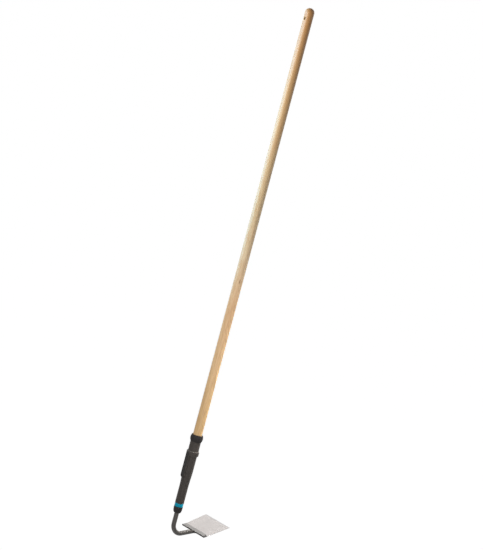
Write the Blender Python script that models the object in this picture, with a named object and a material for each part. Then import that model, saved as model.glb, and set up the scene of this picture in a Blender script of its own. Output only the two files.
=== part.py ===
"""A long handled garden hoe, built as separate pieces in metres.

The handle's axis is the Z axis, pointing up, and the origin is the centre of the hang hole near its
top. The blade points forwards along +X and the Y axis runs across it, so the hoe is the same on both
sides of the plane through X and Z.

From the top down: a round wooden shaft, a moulded sleeve that holds the shaft's tapered end, a bent
steel neck whose upper end is locked inside the sleeve, and a steel blade with a folded heel that rests
on a tongue at the neck's end.
"""

import math

import bmesh
import bpy
from mathutils import Vector

# The clearance left between two pieces that touch, the eased edge of a small piece, and how far a
# cutting shape runs out past the face it cuts
GAP = 0.0003
EASED_EDGE = 0.0004
CUT_OVER = 0.004

# The wooden shaft
HANDLE_RADIUS = 0.014
HOLE_TO_TOP = 0.032
HOLE_TO_MOUTH = 1.297
HANG_HOLE_RADIUS = 0.004
HANG_HOLE_FLARE = 0.0008

# The shaft's end inside the sleeve: a straight length and then a cone
SPIGOT_STRAIGHT = 0.045
SPIGOT_CONE = 0.055
SPIGOT_CONE_DROP = 0.0025
SPIGOT_CHAMFER = 0.0015

# The sleeve's levels, as lengths down from its mouth
COLLAR_HEIGHT = 0.0215
BARREL_LENGTH = 0.0295
BAND_HEIGHT = 0.015
BODY_STRAIGHT = 0.044
BODY_TAPER = 0.055
GRIP_LENGTH = 0.0525
ACCENT_HEIGHT = 0.011
NOSE_HEIGHT = 0.020

# The sleeve's walls
BARREL_WALL = 0.0019
BAND_PROUD = 0.0029
BAND_CORNER = 0.003
BODY_WALL = 0.0012
GRIP_WALL = 0.00625

# The soft collar round the sleeve's mouth
COLLAR_SEAT_WALL = 0.0010
COLLAR_EDGE_WALL = 0.0009
COLLAR_BULGE = 0.0029
COLLAR_LIP = 0.0020

# The raised oval on the sleeve's back and the plain plate let into it
BOSS_LENGTH = 0.082
BOSS_WIDTH = 0.016
BOSS_PROUD = 0.0031
BOSS_EDGE = 0.0008
BOSS_RIM = 0.0018
POCKET_DEPTH = 0.0016
PLATE_THICKNESS = 0.0010

# The coloured ring and the nose below it, both on the sleeve's lower end
SEAT_STEP = 0.0030
SEAT_LENGTH = 0.0085
ACCENT_INSET = 0.0003
NOSE_TIP_WALL = 0.0012
NOSE_STRAIGHT = 0.0045

# The steel neck
NECK_RADIUS = 0.007
TANG_LENGTH = 0.136
TANG_HEAD_LENGTH = 0.020
TANG_SHOULDER = 0.008
TANG_HEAD_SIDE = 0.0095
TANG_HEAD_THICK = 0.0044
NECK_DROP = 0.0345
BEND_RADIUS = 0.031
LIE_ANGLE = math.radians(12.0)
LIE_LENGTH = 0.044
TONGUE_LENGTH = 0.007
TIP_ROUND = 0.0015
SHELF_LEVEL = 0.0016
SHELF_SLOPE = math.radians(60.0)

# The blade
BLADE_ANGLE = math.radians(66.5)
BLADE_LENGTH = 0.0955
BLADE_REAR_WIDTH = 0.111
BLADE_FRONT_WIDTH = 0.120
BLADE_THICKNESS = 0.0020
BEVEL_LENGTH = 0.0040
BEVEL_EDGE = 0.0004
HEEL_LENGTH = 0.014
HEEL_OPENING = 0.0012
HEEL_MITRE = 0.0045
FOLD_DEPTH = 0.0018
FOLD_SQUARENESS = 2.6

# The weld beads that join neck and blade
BEAD_RADIUS = 0.0015
BEAD_SPAN = 0.0116

# The screw that keeps the shaft in the sleeve
SCREW_SHANK = 0.0021
SCREW_HEAD = 0.0038
SCREW_HEAD_RIM = 0.0005
SCREW_LENGTH = 0.018
SCREW_POINT = 0.0004
SCREW_SUNK = 0.0006
CROSS_WIDTH = 0.0009
CROSS_SPAN = 0.0044
CROSS_DEPTH = 0.0012

# Facets round a full turn, and round one end of the oval
HANDLE_STEPS = 48
SLEEVE_STEPS = 56
NECK_STEPS = 28
SMALL_STEPS = 24
OVAL_STEPS = 10

# Values that follow from those above
BORE_RADIUS = HANDLE_RADIUS + GAP
BARREL_RADIUS = BORE_RADIUS + BARREL_WALL
BAND_RADIUS = BARREL_RADIUS + BAND_PROUD
BODY_RADIUS = BORE_RADIUS + BODY_WALL
TANG_BORE = NECK_RADIUS + GAP
GRIP_RADIUS = TANG_BORE + GRIP_WALL
SEAT_RADIUS = GRIP_RADIUS - SEAT_STEP
BAND_TOP = -(COLLAR_HEIGHT + BARREL_LENGTH)
BAND_BOTTOM = BAND_TOP - BAND_HEIGHT
TAPER_TOP = BAND_BOTTOM - BODY_STRAIGHT
TAPER_BOTTOM = TAPER_TOP - BODY_TAPER
GRIP_BOTTOM = TAPER_BOTTOM - GRIP_LENGTH
ACCENT_BOTTOM = GRIP_BOTTOM - ACCENT_HEIGHT
NOSE_BOTTOM = ACCENT_BOTTOM - NOSE_HEIGHT
BOSS_FACE = BODY_RADIUS + BOSS_PROUD
BOSS_TOP = BAND_TOP - BAND_CORNER
HEEL_THICKNESS = 2 * BLADE_THICKNESS + HEEL_OPENING


def linear(red, green, blue):
    """A colour given in display values from 0 to 255, as the renderer's linear values."""
    values = []
    for level in (red, green, blue):
        share = level / 255
        if share <= 0.04045:
            values.append(share / 12.92)
        else:
            values.append(((share + 0.055) / 1.055) ** 2.4)
    return (*values, 1.0)


def material(name, colour, roughness, metallic=0.0):
    made = bpy.data.materials.new(name)
    made.use_nodes = True
    shader = made.node_tree.nodes["Principled BSDF"]
    shader.inputs["Base Color"].default_value = linear(*colour)
    shader.inputs["Roughness"].default_value = roughness
    shader.inputs["Metallic"].default_value = metallic
    return made


def frame(name, parent=None, location=(0, 0, 0), tilt=0.0):
    """An empty that carries pieces, turned by tilt about the Y axis."""
    empty = bpy.data.objects.new(name, None)
    empty.empty_display_size = 0.02
    empty.location = location
    empty.rotation_euler = (0, tilt, 0)
    empty.parent = parent
    bpy.context.scene.collection.objects.link(empty)
    return empty


def piece(name, bm, finish, parent, location=(0, 0, 0), tilt=0.0):
    """Turns a finished bmesh into a named object with smooth round faces and sharp corners."""
    bmesh.ops.recalc_face_normals(bm, faces=bm.faces)
    mesh = bpy.data.meshes.new(name)
    bm.to_mesh(mesh)
    bm.free()
    mesh.shade_smooth()
    mesh.set_sharp_from_angle(angle=math.radians(32))
    made = bpy.data.objects.new(name, mesh)
    made.location = location
    made.rotation_euler = (0, tilt, 0)
    made.parent = parent
    bpy.context.scene.collection.objects.link(made)
    if finish is None:
        made.hide_render = True
        made.display_type = "WIRE"
    else:
        mesh.materials.append(finish)
    return made


def combine(target, other, operation):
    """Adds an exact Boolean of the other object to the target."""
    modifier = target.modifiers.new(f"{operation} {other.name}", "BOOLEAN")
    modifier.operation = operation
    modifier.solver = "EXACT"
    modifier.object = other


def arc(centre_r, centre_z, radius, start, end, count):
    """Points of an arc in the radius and height plane, from start to end in degrees."""
    points = []
    for index in range(count + 1):
        angle = math.radians(start + (end - start) * index / count)
        points.append((centre_r + radius * math.cos(angle), centre_z + radius * math.sin(angle)))
    return points


def turned(profile, steps):
    """Spins a profile of (radius, height) points about the Z axis.

    A profile that starts and ends on the axis gives a solid, any other is closed into a ring.
    """
    bm = bmesh.new()
    verts = [bm.verts.new((radius, 0, height)) for radius, height in profile]
    edges = [bm.edges.new(pair) for pair in zip(verts, verts[1:])]
    if profile[0][0] > 0:
        edges.append(bm.edges.new((verts[-1], verts[0])))
    bmesh.ops.spin(
        bm,
        geom=verts + edges,
        cent=(0, 0, 0),
        axis=(0, 0, 1),
        angle=2 * math.pi,
        steps=steps,
        use_merge=True,
    )
    bmesh.ops.remove_doubles(bm, verts=bm.verts, dist=1e-6)
    return bm


def swept(stations, steps):
    """Skins a row of rounded sections and closes both ends.

    A station is (centre, outward axis, half size across Y, half size along the axis, squareness).
    A squareness of 2 is an ellipse, and a larger one is flatter on its sides.
    """
    bm = bmesh.new()
    rings = []
    for centre, axis, half_side, half_thick, squareness in stations:
        ring = []
        for index in range(steps):
            angle = 2 * math.pi * index / steps
            across = math.copysign(abs(math.cos(angle)) ** (2 / squareness), math.cos(angle))
            out = math.copysign(abs(math.sin(angle)) ** (2 / squareness), math.sin(angle))
            place = centre + axis * (out * half_thick) + Vector((0, across * half_side, 0))
            ring.append(bm.verts.new(place))
        rings.append([bm.edges.new((ring[i - 1], ring[i])) for i in range(steps)])
        if len(rings) == 1 or len(rings) == len(stations):
            bm.faces.new(ring)
    for upper, lower in zip(rings, rings[1:]):
        bmesh.ops.bridge_loops(bm, edges=upper + lower)
    return bm


def stadium(length, width, inner_x, outer_x, middle_z, steps):
    """A flat oval with round ends, long in Z and wide in Y, between two values of X."""
    bm = bmesh.new()
    straight = (length - width) / 2
    outline = []
    for sign in (1, -1):
        for index in range(steps + 1):
            angle = math.pi * index / steps
            y = sign * math.cos(angle) * width / 2
            z = middle_z + sign * (straight + math.sin(angle) * width / 2)
            outline.append(bm.verts.new((inner_x, y, z)))
    face = bm.faces.new(outline)
    moved = bmesh.ops.extrude_face_region(bm, geom=[face])["geom"]
    corners = [item for item in moved if isinstance(item, bmesh.types.BMVert)]
    bmesh.ops.translate(bm, verts=corners, vec=(outer_x - inner_x, 0, 0))
    return bm


def block(low, high):
    """A box between two corners."""
    bm = bmesh.new()
    bmesh.ops.create_cube(bm, size=1)
    for vert in bm.verts:
        vert.co = [low[i] if vert.co[i] < 0 else high[i] for i in range(3)]
    return bm


def bevelled(target, width, segments):
    modifier = target.modifiers.new("edge", "BEVEL")
    modifier.width = width
    modifier.segments = segments
    modifier.limit_method = "ANGLE"
    modifier.angle_limit = math.radians(50)
    modifier.use_clamp_overlap = True


def spigot_profile(grow, foot):
    """The shaft's end below the sleeve's mouth, made larger by grow and ended at foot."""
    top = HANDLE_RADIUS + grow
    low = top - SPIGOT_CONE_DROP
    return [(top, -SPIGOT_STRAIGHT), (low, foot)]


def build_handle(parent, head, finish):
    """The shaft: a domed top, a long straight length and a coned end with a small chamfer."""
    dome = arc(0, 0, HANDLE_RADIUS, 90, 0, 9)
    top = HOLE_TO_TOP + HOLE_TO_MOUTH
    profile = [(0, top)] + [(r, z + top - HANDLE_RADIUS) for r, z in dome[1:]]
    foot = -(SPIGOT_STRAIGHT + SPIGOT_CONE)
    sides = spigot_profile(0, foot + SPIGOT_CHAMFER)
    profile += sides
    profile += [(sides[-1][0] - SPIGOT_CHAMFER, foot), (0, foot)]
    shaft = piece("handle", turned(profile, HANDLE_STEPS), finish, head)
    reach = HANDLE_RADIUS + CUT_OVER
    flare = HANG_HOLE_RADIUS + HANG_HOLE_FLARE
    mouth = math.sqrt(HANDLE_RADIUS**2 - HANG_HOLE_RADIUS**2)
    waist = mouth - HANG_HOLE_FLARE
    cut = [
        (0, reach),
        (flare, reach),
        (flare, mouth),
        (HANG_HOLE_RADIUS, waist),
        (HANG_HOLE_RADIUS, -waist),
        (flare, -mouth),
        (flare, -reach),
        (0, -reach),
    ]
    bore = piece("hang_hole_cutter", turned(cut, SMALL_STEPS), None, parent, tilt=math.pi / 2)
    combine(shaft, bore, "DIFFERENCE")
    return shaft


def sleeve_outline():
    """The sleeve's outside from its mouth to its lower seat, as radius and height."""
    points = [(0, -COLLAR_LIP)]
    collar_seat = BORE_RADIUS + COLLAR_SEAT_WALL
    points += [(collar_seat, -COLLAR_LIP), (collar_seat, -COLLAR_HEIGHT - GAP)]
    points += [(BARREL_RADIUS, -COLLAR_HEIGHT - GAP), (BARREL_RADIUS, BAND_TOP)]
    corner = min(BAND_CORNER, BAND_PROUD)
    middle = BAND_RADIUS - corner
    points += arc(middle, BAND_TOP - corner, corner, 90, 0, 5)
    points += arc(middle, BAND_BOTTOM + corner, corner, 0, -90, 5)
    points += [(BODY_RADIUS, BAND_BOTTOM)]
    steps = 10
    for index in range(steps + 1):
        share = index / steps
        eased = share * share * (3 - 2 * share)
        radius = BODY_RADIUS + (GRIP_RADIUS - BODY_RADIUS) * eased
        points.append((radius, TAPER_TOP + (TAPER_BOTTOM - TAPER_TOP) * share))
    points += [(GRIP_RADIUS, GRIP_BOTTOM), (SEAT_RADIUS, GRIP_BOTTOM)]
    seat_end = ACCENT_BOTTOM - SEAT_LENGTH
    points += [(SEAT_RADIUS, seat_end), (0, seat_end)]
    return points


def tang_stations(grow):
    """The locked upper end of the neck and its straight length, made larger by grow."""
    foot = NOSE_BOTTOM
    top = foot + TANG_LENGTH + grow
    out = Vector((-1, 0, 0))
    head_side = TANG_HEAD_SIDE + grow
    head_thick = TANG_HEAD_THICK + grow
    radius = NECK_RADIUS + grow
    head_foot = foot + TANG_LENGTH - TANG_HEAD_LENGTH - grow
    stations = [(Vector((0, 0, top)), out, head_side, head_thick, 3.0)]
    steps = 4
    for index in range(steps + 1):
        share = index / steps
        eased = share * share * (3 - 2 * share)
        side = head_side + (radius - head_side) * eased
        thick = head_thick + (radius - head_thick) * eased
        height = head_foot - TANG_SHOULDER * share
        stations.append((Vector((0, 0, height)), out, side, thick, 3.0 - eased))
    return stations


def neck_stations():
    """The whole neck: the tang, one round bend and the length that lies towards the blade."""
    stations = tang_stations(0)
    bend_top = NOSE_BOTTOM - NECK_DROP
    centre = Vector((BEND_RADIUS, 0, bend_top))
    turn = math.pi / 2 + LIE_ANGLE
    steps = 17
    for index in range(steps + 1):
        angle = turn * index / steps
        out = Vector((-math.cos(angle), 0, -math.sin(angle)))
        stations.append((centre + out * BEND_RADIUS, out, NECK_RADIUS, NECK_RADIUS, 2.0))
    ahead = Vector((math.cos(LIE_ANGLE), 0, math.sin(LIE_ANGLE)))
    last = stations[-1][0]
    tip = LIE_LENGTH + TONGUE_LENGTH
    for along, radius in ((tip - TIP_ROUND, NECK_RADIUS), (tip, NECK_RADIUS - TIP_ROUND)):
        stations.append((last + ahead * along, out, radius, radius, 2.0))
    return stations, last + ahead * LIE_LENGTH


def blade_ribbon():
    """The blade's section as two matching lines, from the cutting edge round the fold to the heel.

    Each entry is (outer point, inner point, station along the blade, True on the folded leaf). The
    points are (forward, up) from the rear edge of the underside.
    """
    half = HEEL_THICKNESS / 2
    inner = HEEL_OPENING / 2
    ribbon = [
        ((BLADE_LENGTH, 0), (BLADE_LENGTH, BEVEL_EDGE), False),
        ((BLADE_LENGTH - BEVEL_LENGTH, 0), (BLADE_LENGTH - BEVEL_LENGTH, BLADE_THICKNESS), False),
        ((HEEL_LENGTH, 0), (HEEL_LENGTH, BLADE_THICKNESS), False),
    ]
    steps = 12
    for index in range(steps + 1):
        angle = math.radians(-90 - 180 * index / steps)
        across, up = math.cos(angle), math.sin(angle)
        pressed = 2 / FOLD_SQUARENESS
        back = FOLD_DEPTH * (1 - abs(across) ** pressed)
        level = half + half * math.copysign(abs(up) ** pressed, up)
        within = (half + inner * across, half + inner * up)
        ribbon.append(((back, level), within, index > steps // 2))
    leaf_foot = HEEL_THICKNESS - BLADE_THICKNESS
    ribbon.append(((HEEL_LENGTH, HEEL_THICKNESS), (HEEL_LENGTH, leaf_foot), True))
    return ribbon


def half_width(station, leaf):
    """Half the blade's width: the plate widens forwards and the folded leaf narrows."""
    if leaf:
        return BLADE_REAR_WIDTH / 2 - HEEL_MITRE * station / HEEL_LENGTH
    widening = (BLADE_FRONT_WIDTH - BLADE_REAR_WIDTH) / 2
    return BLADE_REAR_WIDTH / 2 + widening * station / BLADE_LENGTH


def build_blade(carrier, finish):
    """One bent sheet: a flat plate with a ground edge, its rear folded over into a heel."""
    bm = bmesh.new()
    rows = []
    for outer, within, leaf in blade_ribbon():
        side = half_width(outer[0], leaf)
        places = [(outer[0], side, outer[1]), (within[0], side, within[1])]
        places += [(within[0], -side, within[1]), (outer[0], -side, outer[1])]
        rows.append([bm.verts.new(place) for place in places])
    for near, far in zip(rows, rows[1:]):
        for i in range(4):
            bm.faces.new((near[i - 1], near[i], far[i], far[i - 1]))
    bm.faces.new(rows[0])
    bm.faces.new(rows[-1])
    return piece("blade", bm, finish, carrier)


def shelf_cutter():
    """All that lies over the neck's tongue: the heel's room and, behind it, a shelf with a sloping end.

    The outline is in the blade's own frame, as (forward, up).
    """
    side = 2 * NECK_RADIUS
    top = 3 * NECK_RADIUS
    shelf = -GAP - 2 * (BEAD_RADIUS + GAP)
    slope_top = shelf - (top - SHELF_LEVEL) / math.tan(SHELF_SLOPE)
    outline = [(4 * TONGUE_LENGTH, -GAP), (-GAP, -GAP), (-GAP, SHELF_LEVEL), (shelf, SHELF_LEVEL)]
    outline += [(slope_top, top), (4 * TONGUE_LENGTH, top)]
    bm = bmesh.new()
    near = [bm.verts.new((forward, -side, up)) for forward, up in outline]
    far = [bm.verts.new((forward, side, up)) for forward, up in outline]
    for index in range(len(outline)):
        bm.faces.new((near[index - 1], near[index], far[index], far[index - 1]))
    bm.faces.new(near)
    bm.faces.new(far)
    return bm


def upper_bead_path():
    """Across the shelf, a bead's radius and a gap away from the shelf and from the heel."""
    reach = BEAD_RADIUS + GAP
    height = SHELF_LEVEL + reach
    points = []
    for share in (-1.0, -0.8, -0.5, 0.0, 0.5, 0.8, 1.0):
        back = reach * (1 + 0.1 * share * share)
        points.append((-back, share * BEAD_SPAN / 2, height))
    return points


def lower_bead_path():
    """Round the tongue on the blade's underside, from one side of it past its tip to the other.

    It keeps the same clearance to the round neck as to the flat face: its centre is a bead's radius
    and a gap away from both.
    """
    reach = BEAD_RADIUS + GAP
    slope = math.pi / 2 - BLADE_ANGLE - LIE_ANGLE
    ring = NECK_RADIUS + reach
    above = -reach - HEEL_THICKNESS / 2
    tip = (TONGUE_LENGTH + above * math.sin(slope) + reach) / math.cos(slope)
    corner = 1.5 * reach
    points = []
    for share in (0.1, 0.4, 0.7):
        station = (tip - corner) * share
        offset = above + math.tan(slope) * station
        points.append((station, math.sqrt(ring**2 - offset**2)))
    side = points[-1][1]
    for index in range(5):
        angle = math.pi / 2 * index / 4
        forward = tip - corner + corner * math.sin(angle)
        points.append((forward, side - corner + corner * math.cos(angle)))
    points.append((tip, 0.0))
    points += [(forward, -across) for forward, across in reversed(points[:-1])]
    return [(forward, across, -reach) for forward, across in points]


def bead_curve(name, carrier, finish, points):
    """A weld bead: a round bar along a path in the blade's own frame."""
    curve = bpy.data.curves.new(name, "CURVE")
    curve.dimensions = "3D"
    curve.bevel_depth = BEAD_RADIUS
    curve.bevel_resolution = 3
    curve.use_fill_caps = True
    spline = curve.splines.new("POLY")
    spline.points.add(len(points) - 1)
    for point, place in zip(spline.points, points):
        point.co = (*place, 1)
    curve.materials.append(finish)
    bead = bpy.data.objects.new(name, curve)
    bead.parent = carrier
    bpy.context.scene.collection.objects.link(bead)
    return bead


def screw_profile(grow, over):
    """The screw's outline about its own axis, its head's face at zero, made larger by grow."""
    head = SCREW_HEAD + grow
    shank = SCREW_SHANK + grow
    cone = head - shank
    rim = -SCREW_HEAD_RIM - grow
    return [
        (0, over),
        (head, over),
        (head, rim),
        (shank, rim - cone),
        (shank, -SCREW_LENGTH + shank),
        (SCREW_POINT + grow, -SCREW_LENGTH - grow),
        (0, -SCREW_LENGTH - grow),
    ]


for old in list(bpy.data.objects):
    bpy.data.objects.remove(old, do_unlink=True)

wood = material("ash", (210, 172, 126), 0.55)
plastic = material("sleeve_plastic", (70, 64, 60), 0.5)
soft = material("collar_rubber", (38, 40, 48), 0.6)
dark = material("badge_plastic", (46, 44, 44), 0.45)
teal = material("accent_plastic", (16, 140, 165), 0.4)
black = material("nose_plastic", (42, 38, 38), 0.5)
painted = material("neck_paint", (88, 84, 78), 0.45, 0.3)
steel = material("blade_steel", (205, 201, 198), 0.35, 1.0)
welded = material("weld_metal", (96, 92, 88), 0.6, 0.6)
plated = material("screw_steel", (150, 150, 148), 0.35, 1.0)

hoe = frame("hoe")
head = frame("head_frame", hoe, (0, 0, -HOLE_TO_MOUTH))

handle = build_handle(hoe, head, wood)

# The sleeve starts solid, gains the raised oval and is then cored out from both ends
sleeve = piece("sleeve", turned(sleeve_outline(), SLEEVE_STEPS), plastic, head)
boss_middle = BOSS_TOP - BOSS_LENGTH / 2
boss = piece(
    "boss_shape",
    stadium(BOSS_LENGTH, BOSS_WIDTH, -TANG_BORE, -BOSS_FACE, boss_middle, OVAL_STEPS),
    None,
    head,
)
bevelled(boss, BOSS_EDGE, 2)
combine(sleeve, boss, "UNION")

socket_foot = -(SPIGOT_STRAIGHT + SPIGOT_CONE) - GAP
socket_sides = spigot_profile(GAP, socket_foot)
socket = [(0, CUT_OVER), (BORE_RADIUS, CUT_OVER)] + socket_sides + [(0, socket_foot)]
socket_core = piece("socket_cutter", turned(socket, HANDLE_STEPS), None, head)
combine(sleeve, socket_core, "DIFFERENCE")

core_stations = tang_stations(GAP)
core_foot = Vector((0, 0, NOSE_BOTTOM - CUT_OVER))
core_stations.append((core_foot, Vector((-1, 0, 0)), TANG_BORE, TANG_BORE, 2.0))
tang_core = piece("tang_cutter", swept(core_stations, NECK_STEPS), None, head)
combine(sleeve, tang_core, "DIFFERENCE")

# The pocket in the oval, and the plain plate that fills it
pocket_length = BOSS_LENGTH - 2 * BOSS_RIM
pocket_width = BOSS_WIDTH - 2 * BOSS_RIM
pocket_floor = BOSS_FACE - POCKET_DEPTH
pocket = piece(
    "pocket_cutter",
    stadium(pocket_length, pocket_width, -pocket_floor, -BOSS_FACE - CUT_OVER, boss_middle, OVAL_STEPS),
    None,
    head,
)
combine(sleeve, pocket, "DIFFERENCE")
plate_back = pocket_floor + GAP
badge = piece(
    "badge_plate",
    stadium(
        pocket_length - 2 * GAP,
        pocket_width - 2 * GAP,
        -plate_back,
        -plate_back - PLATE_THICKNESS,
        boss_middle,
        OVAL_STEPS,
    ),
    dark,
    head,
)
bevelled(badge, EASED_EDGE, 1)

# The collar: a lip over the sleeve's end, a straight bore and a barrel shaped outside
collar_bore = BORE_RADIUS + COLLAR_SEAT_WALL + GAP
collar_edge = collar_bore + COLLAR_EDGE_WALL
collar_half = COLLAR_HEIGHT / 2
bulge_radius = (collar_half**2 + COLLAR_BULGE**2) / (2 * COLLAR_BULGE)
bulge_angle = math.degrees(math.asin(collar_half / bulge_radius))
bulge_centre = collar_edge + COLLAR_BULGE - bulge_radius
collar_profile = arc(bulge_centre, -collar_half, bulge_radius, bulge_angle, -bulge_angle, 12)
collar_profile += [(collar_bore, -COLLAR_HEIGHT), (collar_bore, -COLLAR_LIP + GAP)]
collar_profile += [(BORE_RADIUS, -COLLAR_LIP + GAP), (BORE_RADIUS, -GAP), (BORE_RADIUS + GAP, 0)]
collar = piece("collar", turned(collar_profile, SLEEVE_STEPS), soft, head)

# The coloured ring is threaded over the sleeve's seat and held there by the nose
ring_bore = SEAT_RADIUS + GAP
ring_face = GRIP_RADIUS - ACCENT_INSET
ring_top = GRIP_BOTTOM - GAP
ring_foot = ACCENT_BOTTOM
ring_profile = [
    (ring_bore, ring_top),
    (ring_face - EASED_EDGE, ring_top),
    (ring_face, ring_top - EASED_EDGE),
    (ring_face, ring_foot + EASED_EDGE),
    (ring_face - EASED_EDGE, ring_foot),
    (ring_bore, ring_foot),
]
accent = piece("accent_ring", turned(ring_profile, SLEEVE_STEPS), teal, head)

# The nose: a short straight length, a long rounding and a hole for the neck
nose_top = ACCENT_BOTTOM - GAP
nose_tip = TANG_BORE + NOSE_TIP_WALL
round_height = NOSE_HEIGHT - NOSE_STRAIGHT
nose_profile = [(ring_bore, nose_top), (GRIP_RADIUS - EASED_EDGE, nose_top)]
nose_profile += [(GRIP_RADIUS, nose_top - EASED_EDGE)]
steps = 9
for index in range(steps + 1):
    angle = math.pi / 2 * index / steps
    radius = nose_tip + (GRIP_RADIUS - nose_tip) * math.cos(angle)
    nose_profile.append((radius, ACCENT_BOTTOM - NOSE_STRAIGHT - round_height * math.sin(angle)))
seat_stop = ACCENT_BOTTOM - SEAT_LENGTH - GAP
nose_profile += [(TANG_BORE, NOSE_BOTTOM), (TANG_BORE, seat_stop), (ring_bore, seat_stop)]
nose = piece("nose", turned(nose_profile, SLEEVE_STEPS), black, head)

# The neck, cut away above a tongue on which the blade's heel rests
stations, heel_middle = neck_stations()
neck = piece("neck", swept(stations, NECK_STEPS), painted, head)
forward_tilt = math.pi / 2 - BLADE_ANGLE
blade_up = Vector((-math.sin(forward_tilt), 0, math.cos(forward_tilt)))
blade_rear = heel_middle - blade_up * (HEEL_THICKNESS / 2)
blade_frame = frame("blade_frame", head, blade_rear, -forward_tilt)
shelf = piece("shelf_cutter", shelf_cutter(), None, blade_frame)
combine(neck, shelf, "DIFFERENCE")

blade = build_blade(blade_frame, steel)
bead_curve("weld_upper", blade_frame, welded, upper_bead_path())
bead_curve("weld_lower", blade_frame, welded, lower_bead_path())

# The screw sits in the band, on the front, and reaches into the shaft
screw_level = (BAND_TOP + BAND_BOTTOM) / 2
screw_face = BAND_RADIUS - SCREW_SUNK
screw_place = (screw_face, 0, screw_level)
screw = piece(
    "handle_screw",
    turned(screw_profile(0, 0), SMALL_STEPS),
    plated,
    head,
    screw_place,
    math.pi / 2,
)
for index, spans in enumerate(((CROSS_SPAN, CROSS_WIDTH), (CROSS_WIDTH, CROSS_SPAN))):
    low = (-spans[0] / 2, -spans[1] / 2, -CROSS_DEPTH)
    high = (spans[0] / 2, spans[1] / 2, CROSS_DEPTH)
    cross = piece(f"cross_cutter_{index}", block(low, high), None, head, screw_place, math.pi / 2)
    combine(screw, cross, "DIFFERENCE")
screw_hole = piece(
    "screw_hole_cutter",
    turned(screw_profile(GAP, CUT_OVER), SMALL_STEPS),
    None,
    head,
    screw_place,
    math.pi / 2,
)
combine(sleeve, screw_hole, "DIFFERENCE")
combine(handle, screw_hole, "DIFFERENCE")
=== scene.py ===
# %% [markdown]
# # A garden hoe with a long wooden shaft
#
# The hoe is made of eleven pieces: a round ash shaft, a moulded sleeve with its collar, badge plate,
# coloured ring and nose, a bent steel neck, a folded steel blade, two weld beads and one screw. The
# frame already holds every piece at its real size. This lesson dresses each one: a smooth surface worked
# out with numpy takes the place of the plain solid, and a material made of nodes gives it its finish.

# %% Load the frame
import math

import bmesh
import bpy
import numpy as np
from mathutils import Matrix, Vector


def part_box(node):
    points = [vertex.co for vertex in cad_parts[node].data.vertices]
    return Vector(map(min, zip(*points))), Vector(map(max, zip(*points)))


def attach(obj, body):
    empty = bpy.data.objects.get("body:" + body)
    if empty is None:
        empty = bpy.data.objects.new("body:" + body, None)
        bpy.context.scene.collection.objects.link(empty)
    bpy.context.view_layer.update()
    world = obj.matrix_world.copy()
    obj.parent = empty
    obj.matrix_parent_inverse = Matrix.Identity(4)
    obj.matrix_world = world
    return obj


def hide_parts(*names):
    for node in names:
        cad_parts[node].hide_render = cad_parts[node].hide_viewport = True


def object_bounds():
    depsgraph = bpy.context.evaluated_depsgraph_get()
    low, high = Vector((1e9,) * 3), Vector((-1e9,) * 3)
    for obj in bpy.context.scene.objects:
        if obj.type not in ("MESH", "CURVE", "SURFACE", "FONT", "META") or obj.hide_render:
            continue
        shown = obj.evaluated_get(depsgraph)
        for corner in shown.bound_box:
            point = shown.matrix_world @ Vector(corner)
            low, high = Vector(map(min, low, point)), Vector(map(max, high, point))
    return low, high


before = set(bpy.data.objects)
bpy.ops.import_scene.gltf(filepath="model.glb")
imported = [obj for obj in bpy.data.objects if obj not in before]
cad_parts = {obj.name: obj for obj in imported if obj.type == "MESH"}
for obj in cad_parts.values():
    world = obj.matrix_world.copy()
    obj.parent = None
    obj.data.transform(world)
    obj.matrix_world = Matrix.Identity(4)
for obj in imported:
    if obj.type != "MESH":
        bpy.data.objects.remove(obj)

CAD_LOW, CAD_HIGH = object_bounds()
print("the frame is", [round((b - a) * 1000, 1) for a, b in zip(CAD_LOW, CAD_HIGH)], "mm")

# %% [markdown]
# ## Levels and radii that come from the frame
#
# The origin is the centre of the hang hole, Z runs up the shaft, and the blade points along +X. The
# main levels and radii are read from the boxes of the solids, so a piece moves with its solid's ends if
# the solid changes. The sizes inside those boxes that show, such as the height of the sleeve's band,
# are the solids' own, written down as plain numbers. The rounding of edges is this lesson's own.

# %% Levels along the shaft
MM = 0.001
GAP = 0.3 * MM


def top_of(node):
    """The highest level of a solid."""
    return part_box(node)[1].z


def foot_of(node):
    """The lowest level of a solid."""
    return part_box(node)[0].z


def radius_of(node):
    """Half the width of a solid across the blade's direction."""
    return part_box(node)[1].y


SHAFT_RADIUS = radius_of("handle")
SHAFT_TOP, SHAFT_FOOT = top_of("handle"), foot_of("handle")
MOUTH, COLLAR_FOOT = top_of("collar"), foot_of("collar")
BAND_TOP = COLLAR_FOOT - 29.5 * MM
BAND_FOOT = BAND_TOP - 15 * MM
TAPER_TOP = BAND_FOOT - 44 * MM
TAPER_FOOT = TAPER_TOP - 55 * MM
RING_TOP, RING_FOOT = top_of("accent_ring") + GAP, foot_of("accent_ring")
NOSE_TOP, NOSE_FOOT = RING_FOOT - GAP, foot_of("nose")
print(f"shaft {SHAFT_RADIUS * 2000:.1f} mm thick")
print(f"sleeve from {MOUTH * 1000:.1f} to {NOSE_FOOT * 1000:.1f} mm")

# %% Radii of the sleeve
BORE = SHAFT_RADIUS + GAP
BAND_RADIUS = radius_of("sleeve")
BARREL_RADIUS = BAND_RADIUS - 2.9 * MM
BODY_RADIUS = BORE + 1.2 * MM
GRIP_RADIUS = radius_of("nose")
SEAT_RADIUS = GRIP_RADIUS - 3 * MM
NECK_RADIUS = 7 * MM
NECK_BORE = NECK_RADIUS + GAP
print("band, body and grip", [round(r * 1000, 2) for r in (BAND_RADIUS, BODY_RADIUS, GRIP_RADIUS)])

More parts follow.
